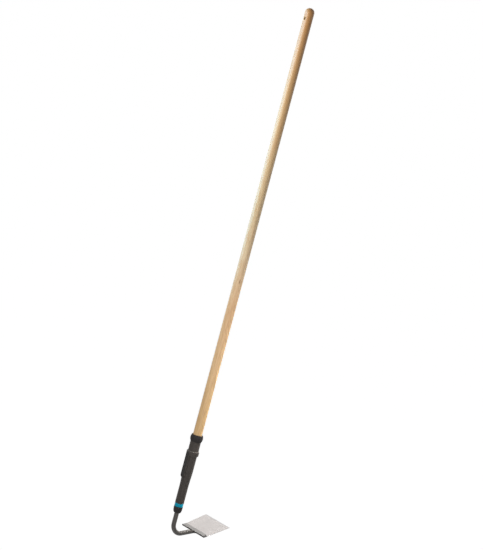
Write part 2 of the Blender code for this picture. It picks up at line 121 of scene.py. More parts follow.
# %% [markdown]
# ## From numpy arrays to a mesh
#
# A grid of points with rows and columns is enough for every piece here: a turned piece has a profile
# along its rows and a full turn along its columns, and a bent bar has sections along its path. The
# quads are found with index arithmetic, with no loop over the points. The last column always joins the
# first, and where a profile is closed the last row does too. Each face also gets its place on the
# surface in metres, so that a pattern such as brushing can follow a bend.

# %% Faces of a grid


def grid_faces(rows, columns, close_rows):
    """The corners of each quad: a point, the next one in its row, and the two in the row below."""
    row, column = np.indices((rows if close_rows else rows - 1, columns))
    below, beside = (row + 1) % rows, (column + 1) % columns
    corners = [row * columns + column, row * columns + beside]
    corners += [below * columns + beside, below * columns + column]
    return np.stack(corners, axis=-1).reshape(-1, 4), row.ravel(), column.ravel()


def grid_places(points, row, column):
    """Where each quad's corners lie on the surface, in metres across and down.

    The distance down the grid is the mean step from row to row, added up, and the one across is the
    mean step from column to column.
    """
    down = np.linalg.norm(np.diff(points, axis=0, append=points[:1]), axis=-1).mean(axis=1)
    across = np.linalg.norm(np.diff(points, axis=1, append=points[:, :1]), axis=-1).mean(axis=0)
    down = np.concatenate([[0], np.cumsum(down)])
    across = np.concatenate([[0], np.cumsum(across)])
    u = np.stack([across[column], across[column + 1], across[column + 1], across[column]], axis=-1)
    v = np.stack([down[row], down[row], down[row + 1], down[row + 1]], axis=-1)
    return np.stack([u.ravel(), v.ravel()], axis=-1)


# %% A piece from a grid
SHARP_TURN = math.radians(40)


def shown(mesh, name):
    """Links a mesh as an object at the origin, smooth except where an edge turns sharply."""
    mesh.shade_smooth()
    mesh.set_sharp_from_angle(angle=SHARP_TURN)
    made = bpy.data.objects.new(name, mesh)
    bpy.context.scene.collection.objects.link(made)
    return made


def skin(name, points, close_rows=False, caps=False):
    """A closed piece from a grid: doubled points are merged and the faces turned outwards."""
    rows, columns = points.shape[:2]
    faces, row, column = grid_faces(rows, columns, close_rows)
    places = grid_places(points, row, column)
    mesh = bpy.data.meshes.new(name)
    mesh.from_pydata(points.reshape(-1, 3), [], faces.tolist())
    mesh.uv_layers.new(name="surface").data.foreach_set("uv", places.ravel())
    bm = bmesh.new()
    bm.from_mesh(mesh)
    if caps:
        bm.verts.ensure_lookup_table()
        for start in (0, (rows - 1) * columns):
            bm.faces.new([bm.verts[start + i] for i in range(columns)])
    bmesh.ops.remove_doubles(bm, verts=bm.verts, dist=1e-7)
    bmesh.ops.dissolve_degenerate(bm, edges=bm.edges, dist=1e-8)
    bmesh.ops.recalc_face_normals(bm, faces=bm.faces)
    bm.to_mesh(mesh)
    bm.free()
    return shown(mesh, name)


# %% [markdown]
# ## Profiles with rounded corners
#
# Real edges are never quite sharp: a moulded or ground edge has a small radius, and that radius is what
# catches the light. A profile is written as a few corners, each with its own rounding, and the arcs are
# worked out. At a corner, the arc touches both sides at a distance of the radius times the tangent of
# half the turn.

# %% Round the corners of a profile


def rounded(corners, closed=False, count=6):
    """Points of a line through (x, y, radius) corners, with an arc in place of each corner."""
    places = np.array([corner[:2] for corner in corners], float)
    points = []
    for index, (x, y, radius) in enumerate(corners):
        here = places[index]
        ends = not closed and index in (0, len(corners) - 1)
        if radius <= 0 or ends:
            points.append(here)
            continue
        before = places[index - 1] - here
        after = places[(index + 1) % len(places)] - here
        before_unit = before / np.linalg.norm(before)
        after_unit = after / np.linalg.norm(after)
        inwards = before_unit + after_unit
        opening = math.acos(np.clip(before_unit @ after_unit, -1, 1))
        reach = radius / math.tan(opening / 2)
        middle = here + inwards / np.linalg.norm(inwards) * (radius / math.sin(opening / 2))
        start, end = here + before_unit * reach - middle, here + after_unit * reach - middle
        share = np.linspace(0, 1, count)[:, None]
        swing = math.pi - opening
        arc = (np.sin((1 - share) * swing) * start + np.sin(share * swing) * end) / math.sin(swing)
        points.extend(middle + arc)
    return np.array(points)


def turned(profile, count=96):
    """A (radius, height) profile turned about Z: radius times cosine and sine, at its height."""
    angle = np.arange(count) * 2 * math.pi / count
    radius, height = profile[:, 0, None], profile[:, 1, None]
    turn = [radius * np.cos(angle), radius * np.sin(angle), height * np.ones_like(angle)]
    return np.stack(turn, axis=-1)


def combined(name, target, tool, operation):
    """Adds or cuts away a second shape for good: the Boolean's result becomes the piece's mesh."""
    modifier = target.modifiers.new(operation.lower(), "BOOLEAN")
    modifier.operation = operation
    modifier.solver = "EXACT"
    modifier.object = tool
    graph = bpy.context.evaluated_depsgraph_get()
    mesh = bpy.data.meshes.new_from_object(target.evaluated_get(graph))
    bpy.data.objects.remove(target)
    bpy.data.objects.remove(tool)
    mesh.name = name
    made = shown(mesh, name)
    print(f"{name}: {operation.lower()} gives {len(mesh.polygons)} faces")
    return made


# %% Give a piece its place and finish


def finished(piece, node, material):
    """The piece stands for its solid, rides on the hoe's one body and wears its material."""
    piece.data.materials.clear()
    piece.data.materials.append(material)
    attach(piece, "root")
    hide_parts(node)
    low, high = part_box(node)
    points = np.empty(3 * len(piece.data.vertices))
    piece.data.vertices.foreach_get("co", points)
    points = points.reshape(-1, 3)
    past = max((np.array(low) - points.min(0)).max(), (points.max(0) - np.array(high)).max())
    faces = len(piece.data.polygons)
    print(f"{piece.name}: {faces} faces, reaches {past * 1000:.2f} mm past its solid")


# %% [markdown]
# ## Materials from nodes
#
# Each finish is a small tree of nodes that reads the place on the object in metres, so its grain has
# real sizes and holds still in every view. Short helpers add a node and join its inputs, which keeps
# each material readable: a broad tone first, then a finer one, then marks of use, roughness and bump.
# Tones are written as they look on a screen, from 0 to 255. They were found by rendering, setting the
# picture beside the photograph, and trying again.

# %% A helper that builds node trees


class Finish:
    """A material under construction: its tree, its shader, and short ways to add nodes."""

    def __init__(self, name):
        self.material = bpy.data.materials.new(name)
        self.material.use_nodes = True
        self.tree = self.material.node_tree
        self.shader = self.tree.nodes["Principled BSDF"]
        self.place = self.add("ShaderNodeTexCoord").outputs["Object"]

    def add(self, kind, **settings):
        node = self.tree.nodes.new(kind)
        for name, value in settings.items():
            setattr(node, name, value)
        return node

    def join(self, value, socket):
        """Links an output to the socket, or writes a plain value on it."""
        if isinstance(value, bpy.types.NodeSocket):
            self.tree.links.new(value, socket)
        else:
            socket.default_value = value

    def feed(self, node, *values):
        """Joins values to a node's inputs in their order, and gives its first output."""
        for value, socket in zip(values, node.inputs):
            self.join(value, socket)
        return node.outputs[0]

    def stretched(self, scale, turn=(0, 0, 0), shift=(0, 0, 0), source=None):
        """The place on the object, shifted, turned and scaled along each axis."""
        return self.feed(self.add("ShaderNodeMapping"), source or self.place, shift, turn, scale)

    def parts(self, vector):
        """A place or a direction taken apart into its X, Y and Z."""
        node = self.add("ShaderNodeSeparateXYZ")
        self.feed(node, vector)
        return node.outputs

    def facing(self):
        """The X, Y and Z of the way that the surface faces, in the object's own axes."""
        return self.parts(self.add("ShaderNodeTexCoord").outputs["Normal"])

    def surface_map(self):
        """Metres across and down the piece's own surface."""
        return self.add("ShaderNodeUVMap", uv_map="surface").outputs["UV"]

    def noise(self, where, scale=1.0, detail=3.0, roughness=0.5, distortion=0.0, output="Fac"):
        node = self.add("ShaderNodeTexNoise")
        for name, value in {
            "Vector": where,
            "Scale": scale,
            "Detail": detail,
            "Roughness": roughness,
            "Distortion": distortion,
        }.items():
            self.join(value, node.inputs[name])
        return node.outputs[output]

    def ramp(self, value, low, high, start=0.0, end=1.0, smooth=True):
        """Start below low, end above high, and an even or eased change between them."""
        node = self.add("ShaderNodeMapRange")
        node.interpolation_type = "SMOOTHSTEP" if smooth else "LINEAR"
        return self.feed(node, value, low, high, start, end)

    def math(self, operation, first, second=0.0):
        return self.feed(self.add("ShaderNodeMath", operation=operation), first, second)

    def vectors(self, operation, first, second=(0, 0, 0)):
        return self.feed(self.add("ShaderNodeVectorMath", operation=operation), first, second)

    def length(self, vector):
        """How far a place is from the pattern's origin."""
        node = self.add("ShaderNodeVectorMath", operation="LENGTH")
        self.feed(node, vector)
        return node.outputs["Value"]

    def blend(self, share, first, second):
        """Goes from the first colour to the second by share."""
        node = self.add("ShaderNodeMix", data_type="RGBA")
        self.join(share, node.inputs["Factor"])
        self.join(first, node.inputs["A"])
        self.join(second, node.inputs["B"])
        return node.outputs["Result"]

    def mottled(self, share, one, other):
        """A first tone between two display colours."""
        return self.blend(share, display(*one), display(*other))

    def tint(self, tone, colour, share):
        """The tone with a display colour laid over it, as far as share says."""
        return self.blend(share, tone, display(*colour))

    def along(self, value, stops):
        """A colour that changes with a value: each stop is a value and the colour there."""
        low, high = stops[0][0], stops[-1][0]
        node = self.add("ShaderNodeValToRGB")
        self.join(self.ramp(value, low, high, smooth=False), node.inputs["Fac"])
        marks = node.color_ramp.elements
        marks.remove(marks[-1])
        marks[0].position, marks[0].color = 0.0, display(*stops[0][1])
        for level, colour in stops[1:]:
            marks.new((level - low) / (high - low)).color = display(*colour)
        return node.outputs["Color"]

    def bump(self, height, depth):
        """Relief of a height map, depth metres high where the map goes from 0 to 1."""
        node = self.add("ShaderNodeBump")
        self.join(height, node.inputs["Height"])
        self.join(depth, node.inputs["Distance"])
        return node.outputs["Normal"]

    def wear(self, **sockets):
        """Sets the shader's sockets by name, such as Base_Color, and gives the material back."""
        for name, value in sockets.items():
            self.join(value, self.shader.inputs[name.replace("_", " ")])
        return self.material


def display(red, green, blue):
    """A colour in display values from 0 to 255, turned into the renderer's linear values."""
    level = np.array([red, green, blue]) / 255
    linear = np.where(level <= 0.04045, level / 12.92, ((level + 0.055) / 1.055) ** 2.4)
    return (*linear.tolist(), 1.0)


def darker(colour, share):
    """The display colour with each value brought down to a share of itself."""
    return [level * share for level in colour]


# %% [markdown]
# ## The shaft's wood
#
# The shaft is turned from ash, a pale wood with a straight open grain. Growth rings are sheets that
# circle the heart of the tree, which lies well outside such a thin stick. So the rings are drawn as
# distances from an axis beside the shaft, leant a little, and where the round stick cuts them they run
# out as long streaks and narrow arches, as they do on a real handle. Over that lie fine fibres, short
# open pores in the early wood, a small knot, soft warm patches, and a thin satin varnish. The whole
# stick also goes from brown at its top to pale in the middle, and that slow change is a row of levels
# with a tone at each. Those tones are partly the wood's own colour and partly painted light and shade
# along the stick, with painted shade in the brown of its top.

# %% The wood's sizes and tones
RING_WIDTH = 2.6 * MM
HEART_PLACE, HEART_LEAN = (34 * MM, 21 * MM, 0), (0.012, -0.02, 0)
RING_SWAY = 10 * MM
KNOT_ANGLE, KNOT_LEVEL = math.radians(-68.5), -0.8105
KNOT_PLACE = Vector((-math.cos(KNOT_ANGLE), math.sin(KNOT_ANGLE), 0)) * SHAFT_RADIUS
KNOT_PLACE.z = KNOT_LEVEL
KNOT_FLAT = Vector((1, 1, 0.2))
KNOT_REACH, KNOT_PULL = 11 * MM, 2.2 * MM
# Tones along the shaft: the wood's own colour with painted light and shade, and painted shade at the
# top.
ASH_TONE_AND_SHADE_ALONG = [
    (-1.25, (238, 197, 137)),
    (-1.05, (247, 206, 153)),
    (-0.90, (235, 191, 141)),
    (-0.75, (230, 204, 163)),
    (-0.60, (212, 187, 142)),
    (-0.30, (210, 171, 115)),
    (0.00, (190, 131, 63)),
]
ASH_LATE, ASH_PORE, ASH_KNOT = (186, 136, 84), (152, 110, 66), (134, 84, 40)
# The first tone on the next line is painted light for the inside of the hang hole.
ASH_BORE_PAINTED_LIGHT, ASH_PATCH = (214, 180, 132), (200, 154, 104)
print("the knot is at", [round(value * 1000, 1) for value in KNOT_PLACE], "mm")

# %% Ash wood


def ash_wood():
    wood = Finish("ash_wood")
    drift = wood.noise(wood.stretched((30, 30, 1.6)), detail=2.0)
    knot_far = wood.length(wood.stretched(KNOT_FLAT, shift=-KNOT_PLACE * KNOT_FLAT))
    sway = wood.noise(wood.stretched((20, 20, 1.1)), scale=5.0, detail=1.5, output="Color")
    sway = wood.vectors("MULTIPLY", sway, (RING_SWAY,) * 3)
    heart = wood.vectors("ADD", wood.stretched((1, 1, 1), turn=HEART_LEAN, shift=HEART_PLACE), sway)
    heart_far = wood.length(wood.vectors("MULTIPLY", heart, (1, 1, 0)))
    pull = wood.ramp(knot_far, 0.0, KNOT_REACH, KNOT_PULL, 0.0)
    rings = wood.math("MULTIPLY", wood.math("ADD", heart_far, pull), 1 / RING_WIDTH)
    year = wood.math("FRACT", rings)
    early = wood.ramp(year, 0.0, 0.45, 1.0, 0.0)
    late = wood.ramp(year, 0.6, 0.97, 0.0, 1.0)
    fibre = wood.noise(wood.stretched((2600, 2600, 26)), detail=3.0, roughness=0.6)
    streak = wood.noise(wood.stretched((620, 620, 4)), detail=2.0)
    pore_noise = wood.noise(wood.stretched((1900, 1900, 130)), detail=1.0)
    pore = wood.math("MULTIPLY", wood.ramp(pore_noise, 0.60, 0.70), early)
    tone = wood.along(wood.parts(wood.place)["Z"], ASH_TONE_AND_SHADE_ALONG)
    tone = wood.tint(tone, ASH_LATE, wood.ramp(drift, 0.32, 0.70, 0.0, 0.25))
    patch = wood.noise(wood.stretched((60, 60, 22)), detail=2.0)
    tone = wood.tint(tone, ASH_PATCH, wood.ramp(patch, 0.46, 0.70, 0.0, 0.34))
    tone = wood.tint(tone, ASH_LATE, wood.math("MULTIPLY", late, 0.34))
    tone = wood.tint(tone, ASH_LATE, wood.ramp(streak, 0.42, 0.75, 0.0, 0.30))
    tone = wood.tint(tone, ASH_PORE, wood.ramp(fibre, 0.35, 0.75, 0.0, 0.22))
    tone = wood.tint(tone, ASH_PORE, wood.math("MULTIPLY", pore, 0.5))
    tone = wood.tint(tone, ASH_KNOT, wood.ramp(knot_far, 0.6 * MM, 2.4 * MM, 0.85, 0.0))
    # The bore of the hang hole is painted paler than the wood round it: painted light that lifts the
    # shade inside the hole.
    from_bore = wood.length(wood.stretched((0, 1, 1)))
    tone = wood.tint(tone, ASH_BORE_PAINTED_LIGHT, wood.ramp(from_bore, 4.2 * MM, 5.2 * MM, 0.85, 0.0))
    height = wood.math("ADD", wood.math("MULTIPLY", fibre, 0.5), wood.math("MULTIPLY", pore, -1.0))
    height = wood.math("ADD", height, wood.math("MULTIPLY", late, 0.35))
    return wood.wear(
        Base_Color=tone,
        Roughness=wood.ramp(fibre, 0.2, 0.8, 0.40, 0.56),
        Specular_IOR_Level=0.35,
        Coat_Weight=0.8,
        Coat_Roughness=0.42,
        Normal=wood.bump(height, 0.02 * MM),
    )


ash = ash_wood()

# %% [markdown]
# ## The shaft
#
# The shaft is a profile turned on a lathe: a domed top, one long straight length and, inside the
# sleeve, a gentle cone with a chamfered end. The hang hole is drilled straight through and its two
# mouths are eased. A drilled hole is easiest as a real cut, so a spindle with flared ends is taken away
# from the stick. The rows are close together near the hole, so that its edge stays round and clean.

# %% The turned shaft
SHAFT_STRAIGHT_FOOT = MOUTH - 45 * MM
SHAFT_END_RADIUS = SHAFT_RADIUS - 2.5 * MM
HOLE_RADIUS, HOLE_EASE = 4 * MM, 0.9 * MM
HOLE_ZONE = 9 * MM


def shaft_profile():
    """A quarter circle for the dome, then levels down the stick, close together round the hole."""
    dome = np.linspace(math.pi / 2, 0, 24)
    rise = SHAFT_TOP - SHAFT_RADIUS
    top = np.stack([SHAFT_RADIUS * np.cos(dome), rise + SHAFT_RADIUS * np.sin(dome)], axis=-1)
    near = np.arange(rise - 1.5 * MM, -HOLE_ZONE, -1 * MM)
    far = np.linspace(-HOLE_ZONE, SHAFT_STRAIGHT_FOOT, 70)
    levels = np.concatenate([near, far])
    side = np.stack([np.full_like(levels, SHAFT_RADIUS), levels], axis=-1)
    cone = [(SHAFT_RADIUS, SHAFT_STRAIGHT_FOOT, 0), (SHAFT_END_RADIUS, SHAFT_FOOT, 1.5 * MM)]
    end = rounded(cone + [(0, SHAFT_FOOT, 0)])
    return np.concatenate([top, side, end[1:]])


def hole_spindle():
    """A spindle along X: the hole's radius inside, opening in a quarter round at both surfaces."""
    lip = np.linspace(0, math.pi / 2, 7)
    reach = SHAFT_RADIUS + 3 * MM
    mouth = math.sqrt(SHAFT_RADIUS**2 - HOLE_RADIUS**2)
    flare = HOLE_RADIUS + HOLE_EASE * (1 - np.cos(lip))
    level = mouth - HOLE_EASE * (1 - np.sin(lip))
    wide = flare[-1] + 0.5 * MM
    side = [(0, reach), (wide, reach), (wide, mouth + 0.5 * MM)]
    half = np.concatenate([side, np.stack([flare, level], axis=-1)[::-1]])
    profile = np.concatenate([half, half[::-1] * (1, -1)])
    return turned(profile, 64)[..., [2, 1, 0]]


shaft = combined(
    "wood_shaft",
    skin("shaft_blank", turned(shaft_profile(), 112)),
    skin("hole_spindle", hole_spindle()),
    "DIFFERENCE",
)
finished(shaft, "handle", ash)

# %% [markdown]
# ## The moulded plastics
#
# The sleeve, the ring and the nose are injection moulded. The steel of such a mould is spark eroded, and
# it leaves a fine leathery texture well under a millimetre across that breaks the shine up. On top of
# that come edges pale from wear and faint scuffs from use, and the band's top shoulder gets a pale line
# that is a painted highlight. One function makes all of them, with the colour, the depth of the texture
# and the levels of the pale edge lines as its inputs.

# %% Moulded plastic


def moulded(name, colour, rubbed_and_highlight, rough, grain, specular, edges):
    """Plastic with a drifting tone, a fine grain, scuffs, and a pale line at each edge.

    The pale line is wear, and on the sleeve band's top shoulder it is a painted highlight. Each edge is
    its level, how far the pale line reaches from it, and how strong the line is.
    """
    plastic = Finish(name)
    drift = plastic.noise(plastic.stretched((28, 28, 9)), detail=2.0)
    fine = plastic.noise(plastic.place, scale=2400, detail=2.0, roughness=0.6)
    cells = plastic.add("ShaderNodeTexVoronoi", feature="SMOOTH_F1")
    plastic.join(plastic.place, cells.inputs["Vector"])
    plastic.join(1500.0, cells.inputs["Scale"])
    slanted = plastic.stretched((190, 190, 1500), turn=(0.5, 0.3, 0))
    scuff = plastic.ramp(plastic.noise(slanted, distortion=0.6), 0.60, 0.72)
    scuff = plastic.math("MULTIPLY", scuff, plastic.ramp(drift, 0.45, 0.65))
    height = plastic.parts(plastic.place)["Z"]
    wear_and_highlight = 0.0
    for level, reach, share in edges:
        away = plastic.math("ABSOLUTE", plastic.math("SUBTRACT", height, level))
        wear_and_highlight = plastic.math("MAXIMUM", wear_and_highlight, plastic.ramp(away, 0.2 * reach, reach, share, 0.0))
    wear_and_highlight = plastic.math("MULTIPLY", wear_and_highlight, plastic.ramp(fine, 0.35, 0.65, 0.35, 1.0))
    tone = plastic.mottled(plastic.ramp(drift, 0.3, 0.7), colour, darker(colour, 0.9))
    tone = plastic.tint(tone, rubbed_and_highlight, plastic.ramp(fine, 0.3, 0.7, 0.0, 0.14))
    tone = plastic.tint(tone, rubbed_and_highlight, plastic.math("MULTIPLY", scuff, 0.28))
    tone = plastic.tint(tone, rubbed_and_highlight, wear_and_highlight)
    gloss = plastic.ramp(fine, 0.25, 0.75, rough - 0.06, rough + 0.08)
    gloss = plastic.math("SUBTRACT", gloss, plastic.math("MULTIPLY", wear_and_highlight, 0.24))
    relief = plastic.math("ADD", cells.outputs["Distance"], plastic.math("MULTIPLY", fine, 0.6))
    return plastic.wear(
        Base_Color=tone,
        Roughness=gloss,
        Specular_IOR_Level=specular,
        Normal=plastic.bump(relief, grain),
    )


sleeve_plastic = moulded(
    "sleeve_plastic",
    colour=(60, 54, 50),
    rubbed_and_highlight=(112, 106, 100),
    rough=0.55,
    grain=0.05 * MM,
    specular=0.28,
    # The first edge line is a painted highlight on the band's top shoulder; the second is wear at the
    # band's foot.
    edges=[(BAND_TOP - 0.6 * MM, 1.9 * MM, 0.95), (BAND_FOOT + 1 * MM, 1.4 * MM, 0.35)],
)
accent_plastic = moulded(
    "accent_plastic",
    colour=(0, 164, 196),
    rubbed_and_highlight=(60, 176, 198),
    rough=0.40,
    grain=0.02 * MM,
    specular=0.2,
    edges=[(RING_TOP, 0.8 * MM, 0.3), (RING_FOOT, 0.8 * MM, 0.3)],
)
nose_plastic = moulded(
    "nose_plastic",
    colour=(34, 30, 30),
    rubbed_and_highlight=(80, 76, 74),
    rough=0.50,
    grain=0.04 * MM,
    specular=0.2,
    edges=[(NOSE_FOOT, 2.5 * MM, 0.3)],
)
badge_plastic = moulded(
    "badge_plastic",
    colour=(38, 35, 33),
    rubbed_and_highlight=(80, 77, 74),
    rough=0.40,
    grain=0.015 * MM,
    specular=0.2,
    edges=[(top_of("badge_plate"), 1 * MM, 0.3), (foot_of("badge_plate"), 1 * MM, 0.3)],
)

# %% [markdown]
# ## The sleeve
#
# The sleeve is one moulding: a step under the collar, a barrel, a wider band with round shoulders, a
# straight body that holds the shaft, and an eased taper down to a slim grip that holds the neck. Its
# inside is a coned socket above and the neck's bore below. Outside and inside are one closed profile, so
# a single turn makes the whole shell. The raised oval on its back is a second shape, joined on, and its
# pocket a third, cut away. The oval's block starts as far in as the neck's bore, so it also fills the
# back of the socket, out of sight. To leave the socket free, it would start inside the sleeve's wall.

# %% The sleeve's profile
SEAT_LENGTH = 8.5 * MM
HEAD_LENGTH, HEAD_TAPERED = 20 * MM, 30 * MM
HEAD_BORE, WEB_BORE = 9.9 * MM, 3 * MM


def sleeve_profile():
    """The closed outline of the shell, down the outside and back up the inside.

    The taper's radius is eased: it goes by 3 times the share squared less 2 times the share cubed.
    """
    seat_end = RING_FOOT - SEAT_LENGTH
    seat_wall = BORE + 1.0 * MM
    lip = MOUTH - 2 * MM
    step = COLLAR_FOOT - GAP
    upper = rounded(
        [
            (BORE, lip, 0),
            (seat_wall, lip, 0.2 * MM),
            (seat_wall, step, 0.15 * MM),
            (BARREL_RADIUS, step, 0.5 * MM),
            (BARREL_RADIUS, BAND_TOP, 0.45 * MM),
            (BAND_RADIUS, BAND_TOP, 2.35 * MM),
            (BAND_RADIUS, BAND_FOOT, 2.35 * MM),
            (BODY_RADIUS, BAND_FOOT, 0.5 * MM),
            (BODY_RADIUS, TAPER_TOP, 0),
        ],
        count=9,
    )
    share = np.linspace(0, 1, 28)[1:]
    eased = share**2 * (3 - 2 * share)
    radius = BODY_RADIUS + (GRIP_RADIUS - BODY_RADIUS) * eased
    taper = np.stack([radius, TAPER_TOP + (TAPER_FOOT - TAPER_TOP) * share], axis=-1)
    socket_foot = SHAFT_FOOT - GAP
    head_room = top_of("neck") + GAP
    lower = rounded(
        [
            (GRIP_RADIUS, TAPER_FOOT - 1 * MM, 0),
            (GRIP_RADIUS, RING_TOP, 0.4 * MM),
            (SEAT_RADIUS, RING_TOP, 0),
            (SEAT_RADIUS, seat_end, 0.3 * MM),
            (NECK_BORE, seat_end, 0),
            (NECK_BORE, head_room - HEAD_TAPERED, 0),
            (HEAD_BORE, head_room - HEAD_LENGTH, 0),
            (HEAD_BORE, head_room, 0),
            (WEB_BORE, head_room, 0),
            (WEB_BORE, socket_foot, 0),
            (SHAFT_END_RADIUS + GAP, socket_foot, 0),
            (BORE, SHAFT_STRAIGHT_FOOT, 0),
        ]
    )
    return np.concatenate([upper, taper, lower])


# %% The raised oval and its pocket
OVAL_LENGTH, OVAL_WIDTH = 82 * MM, 16 * MM
OVAL_FACE = BODY_RADIUS + 3.1 * MM
OVAL_RIM = 1.8 * MM
POCKET_DEPTH = 1.6 * MM
OVAL_MIDDLE = BAND_TOP - 3 * MM - OVAL_LENGTH / 2


def oval(name, length, width, section):
    """A flat oval on the sleeve's back.

    The section gives how far in from its outline, and how far out from the axis, each ring of points
    lies. The rings follow a stadium: a half circle shifted up, and one shifted down.
    """
    half = np.linspace(0, math.pi, 28)
    turn = np.concatenate([half, half + math.pi])
    shift = np.repeat([1, -1], len(half)) * (length - width) / 2
    inset, out = section[:, 0, None], section[:, 1, None]
    across = (width / 2 - inset) * np.cos(turn)
    up = OVAL_MIDDLE + shift + (width / 2 - inset) * np.sin(turn)
    return skin(name, np.stack([-out * np.ones_like(across), across, up], axis=-1), caps=True)


sleeve = skin("sleeve_blank", turned(sleeve_profile(), 144), close_rows=True)
boss = oval(
    "oval_boss",
    OVAL_LENGTH,
    OVAL_WIDTH,
    rounded([(0, NECK_BORE, 0), (0, OVAL_FACE, 0.8 * MM), (2 * MM, OVAL_FACE, 0)], count=8),
)
sleeve = combined("sleeve_with_oval", sleeve, boss, "UNION")
pocket_floor = OVAL_FACE - POCKET_DEPTH
pocket = oval(
    "oval_pocket",
    OVAL_LENGTH - 2 * OVAL_RIM,
    OVAL_WIDTH - 2 * OVAL_RIM,
    rounded(
        [
            (2 * MM, pocket_floor, 0),
            (0, pocket_floor, 0.25 * MM),
            (0, OVAL_FACE - 0.3 * MM, 0),
            (-0.35 * MM, OVAL_FACE + 0.05 * MM, 0),
            (-0.35 * MM, OVAL_FACE + 3 * MM, 0),
        ]
    ),
)
sleeve = combined("moulded_sleeve", sleeve, pocket, "DIFFERENCE")
finished(sleeve, "sleeve", sleeve_plastic)

# %% [markdown]
# ## The badge plate
#
# A thin plate of smooth plastic lies in the oval's pocket. On this hoe it is plain. It is the same oval
# a little smaller, with a soft crown: its face rises by a third of a millimetre towards the middle, as
# an inlaid plate does, and its edge is eased.

# %% The plain plate
PLATE_BACK = -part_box("badge_plate")[1].x
PLATE_FACE = -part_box("badge_plate")[0].x
plate_half = OVAL_WIDTH / 2 - OVAL_RIM - GAP
inwards = np.linspace(0, 1, 10)
face_inset = 0.4 * MM + inwards * (plate_half - 0.5 * MM)
face_out = PLATE_FACE - 0.3 * MM * (1 - inwards) ** 2
plate_section = np.concatenate(
    [
        [(1 * MM, PLATE_BACK), (0.1 * MM, PLATE_BACK), (0, PLATE_BACK + 0.1 * MM)],
        [(0, PLATE_FACE - 0.6 * MM), (0.1 * MM, PLATE_FACE - 0.42 * MM)],
        np.stack([face_inset, face_out], axis=-1),
    ]
)
plate = oval("badge_inlay", OVAL_LENGTH - 2 * OVAL_RIM - 2 * GAP, 2 * plate_half, plate_section)
finished(plate, "badge_plate", badge_plastic)

# %% [markdown]
# ## The collar
#
# A soft collar closes the joint between wood and plastic. It is moulded in rubber: barrel shaped
# outside, with a lip that folds over the sleeve's end and hugs the shaft. Rubber is dark with almost no
# shine. It holds a little dust, so its finish has a bluish black tone, a velvety roughness, and paler
# specks that settle in its grain.

# %% Rubber


def soft_rubber():
    rubber = Finish("collar_rubber")
    drift = rubber.noise(rubber.place, scale=70, detail=3.0)
    grain = rubber.noise(rubber.place, scale=3200, detail=2.0, roughness=0.7)
    dust = rubber.noise(rubber.place, scale=900, detail=4.0, roughness=0.75)
    tone = rubber.mottled(rubber.ramp(drift, 0.35, 0.65), (44, 41, 41), (49, 46, 45))
    tone = rubber.tint(tone, (92, 88, 84), rubber.ramp(dust, 0.56, 0.72, 0.0, 0.30))
    return rubber.wear(
        Base_Color=tone,
        Roughness=rubber.ramp(grain, 0.2, 0.8, 0.62, 0.82),
        Specular_IOR_Level=0.2,
        Normal=rubber.bump(grain, 0.04 * MM),
    )


# %% The collar's profile
COLLAR_BORE = BORE + 1.3 * MM
COLLAR_EDGE = COLLAR_BORE + 0.9 * MM
COLLAR_BULGE = radius_of("collar") - COLLAR_EDGE
collar_half = (MOUTH - COLLAR_FOOT) / 2
bulge_radius = (collar_half**2 + COLLAR_BULGE**2) / (2 * COLLAR_BULGE)
bulge_angle = np.linspace(1, -1, 36) * (math.asin(collar_half / bulge_radius) * 0.93)
bulge = np.stack(
    [
        COLLAR_EDGE + COLLAR_BULGE - bulge_radius * (1 - np.cos(bulge_angle)),
        MOUTH - collar_half + bulge_radius * np.sin(bulge_angle),
    ],
    axis=-1,
)
collar_inside = rounded(
    [
        (bulge[-1, 0], bulge[-1, 1], 0),
        (COLLAR_EDGE - 0.3 * MM, COLLAR_FOOT, 0.3 * MM),
        (COLLAR_BORE, COLLAR_FOOT, 0.1 * MM),
        (COLLAR_BORE, MOUTH - 1.7 * MM, 0),
        (BORE, MOUTH - 1.7 * MM, 0),
        (BORE, MOUTH - 0.2 * MM, 0.2 * MM),
        (BORE + 0.5 * MM, MOUTH, 0.3 * MM),
        (COLLAR_EDGE - 0.2 * MM, MOUTH, 0.5 * MM),
        (bulge[0, 0], bulge[0, 1], 0),
    ]
)
collar_outline = np.concatenate([bulge, collar_inside[1:-1]])
collar = skin("rubber_collar", turned(collar_outline, 128), close_rows=True)
finished(collar, "collar", soft_rubber())

# %% [markdown]
# ## The coloured ring and the nose
#
# Both are turned rings over the sleeve's slimmer end. The ring is set back a little from the grip, with
# its edges eased. The nose has a short straight length and then rounds down to the steel like the end
# of an egg: its radius follows the cosine of an angle while its level follows the sine.

# %% Ring and nose
RING_FACE = radius_of("accent_ring")
RING_BORE = SEAT_RADIUS + GAP
OUTER_EASE, INNER_EASE = 0.45 * MM, 0.1 * MM
ring_outline = rounded(
    [
        (RING_BORE, RING_TOP - GAP, INNER_EASE),
        (RING_FACE, RING_TOP - GAP, OUTER_EASE),
        (RING_FACE, RING_FOOT, OUTER_EASE),
        (RING_BORE, RING_FOOT, INNER_EASE),
    ],
    closed=True,
)
finished(
    skin("teal_ring", turned(ring_outline, 128), close_rows=True), "accent_ring", accent_plastic
)

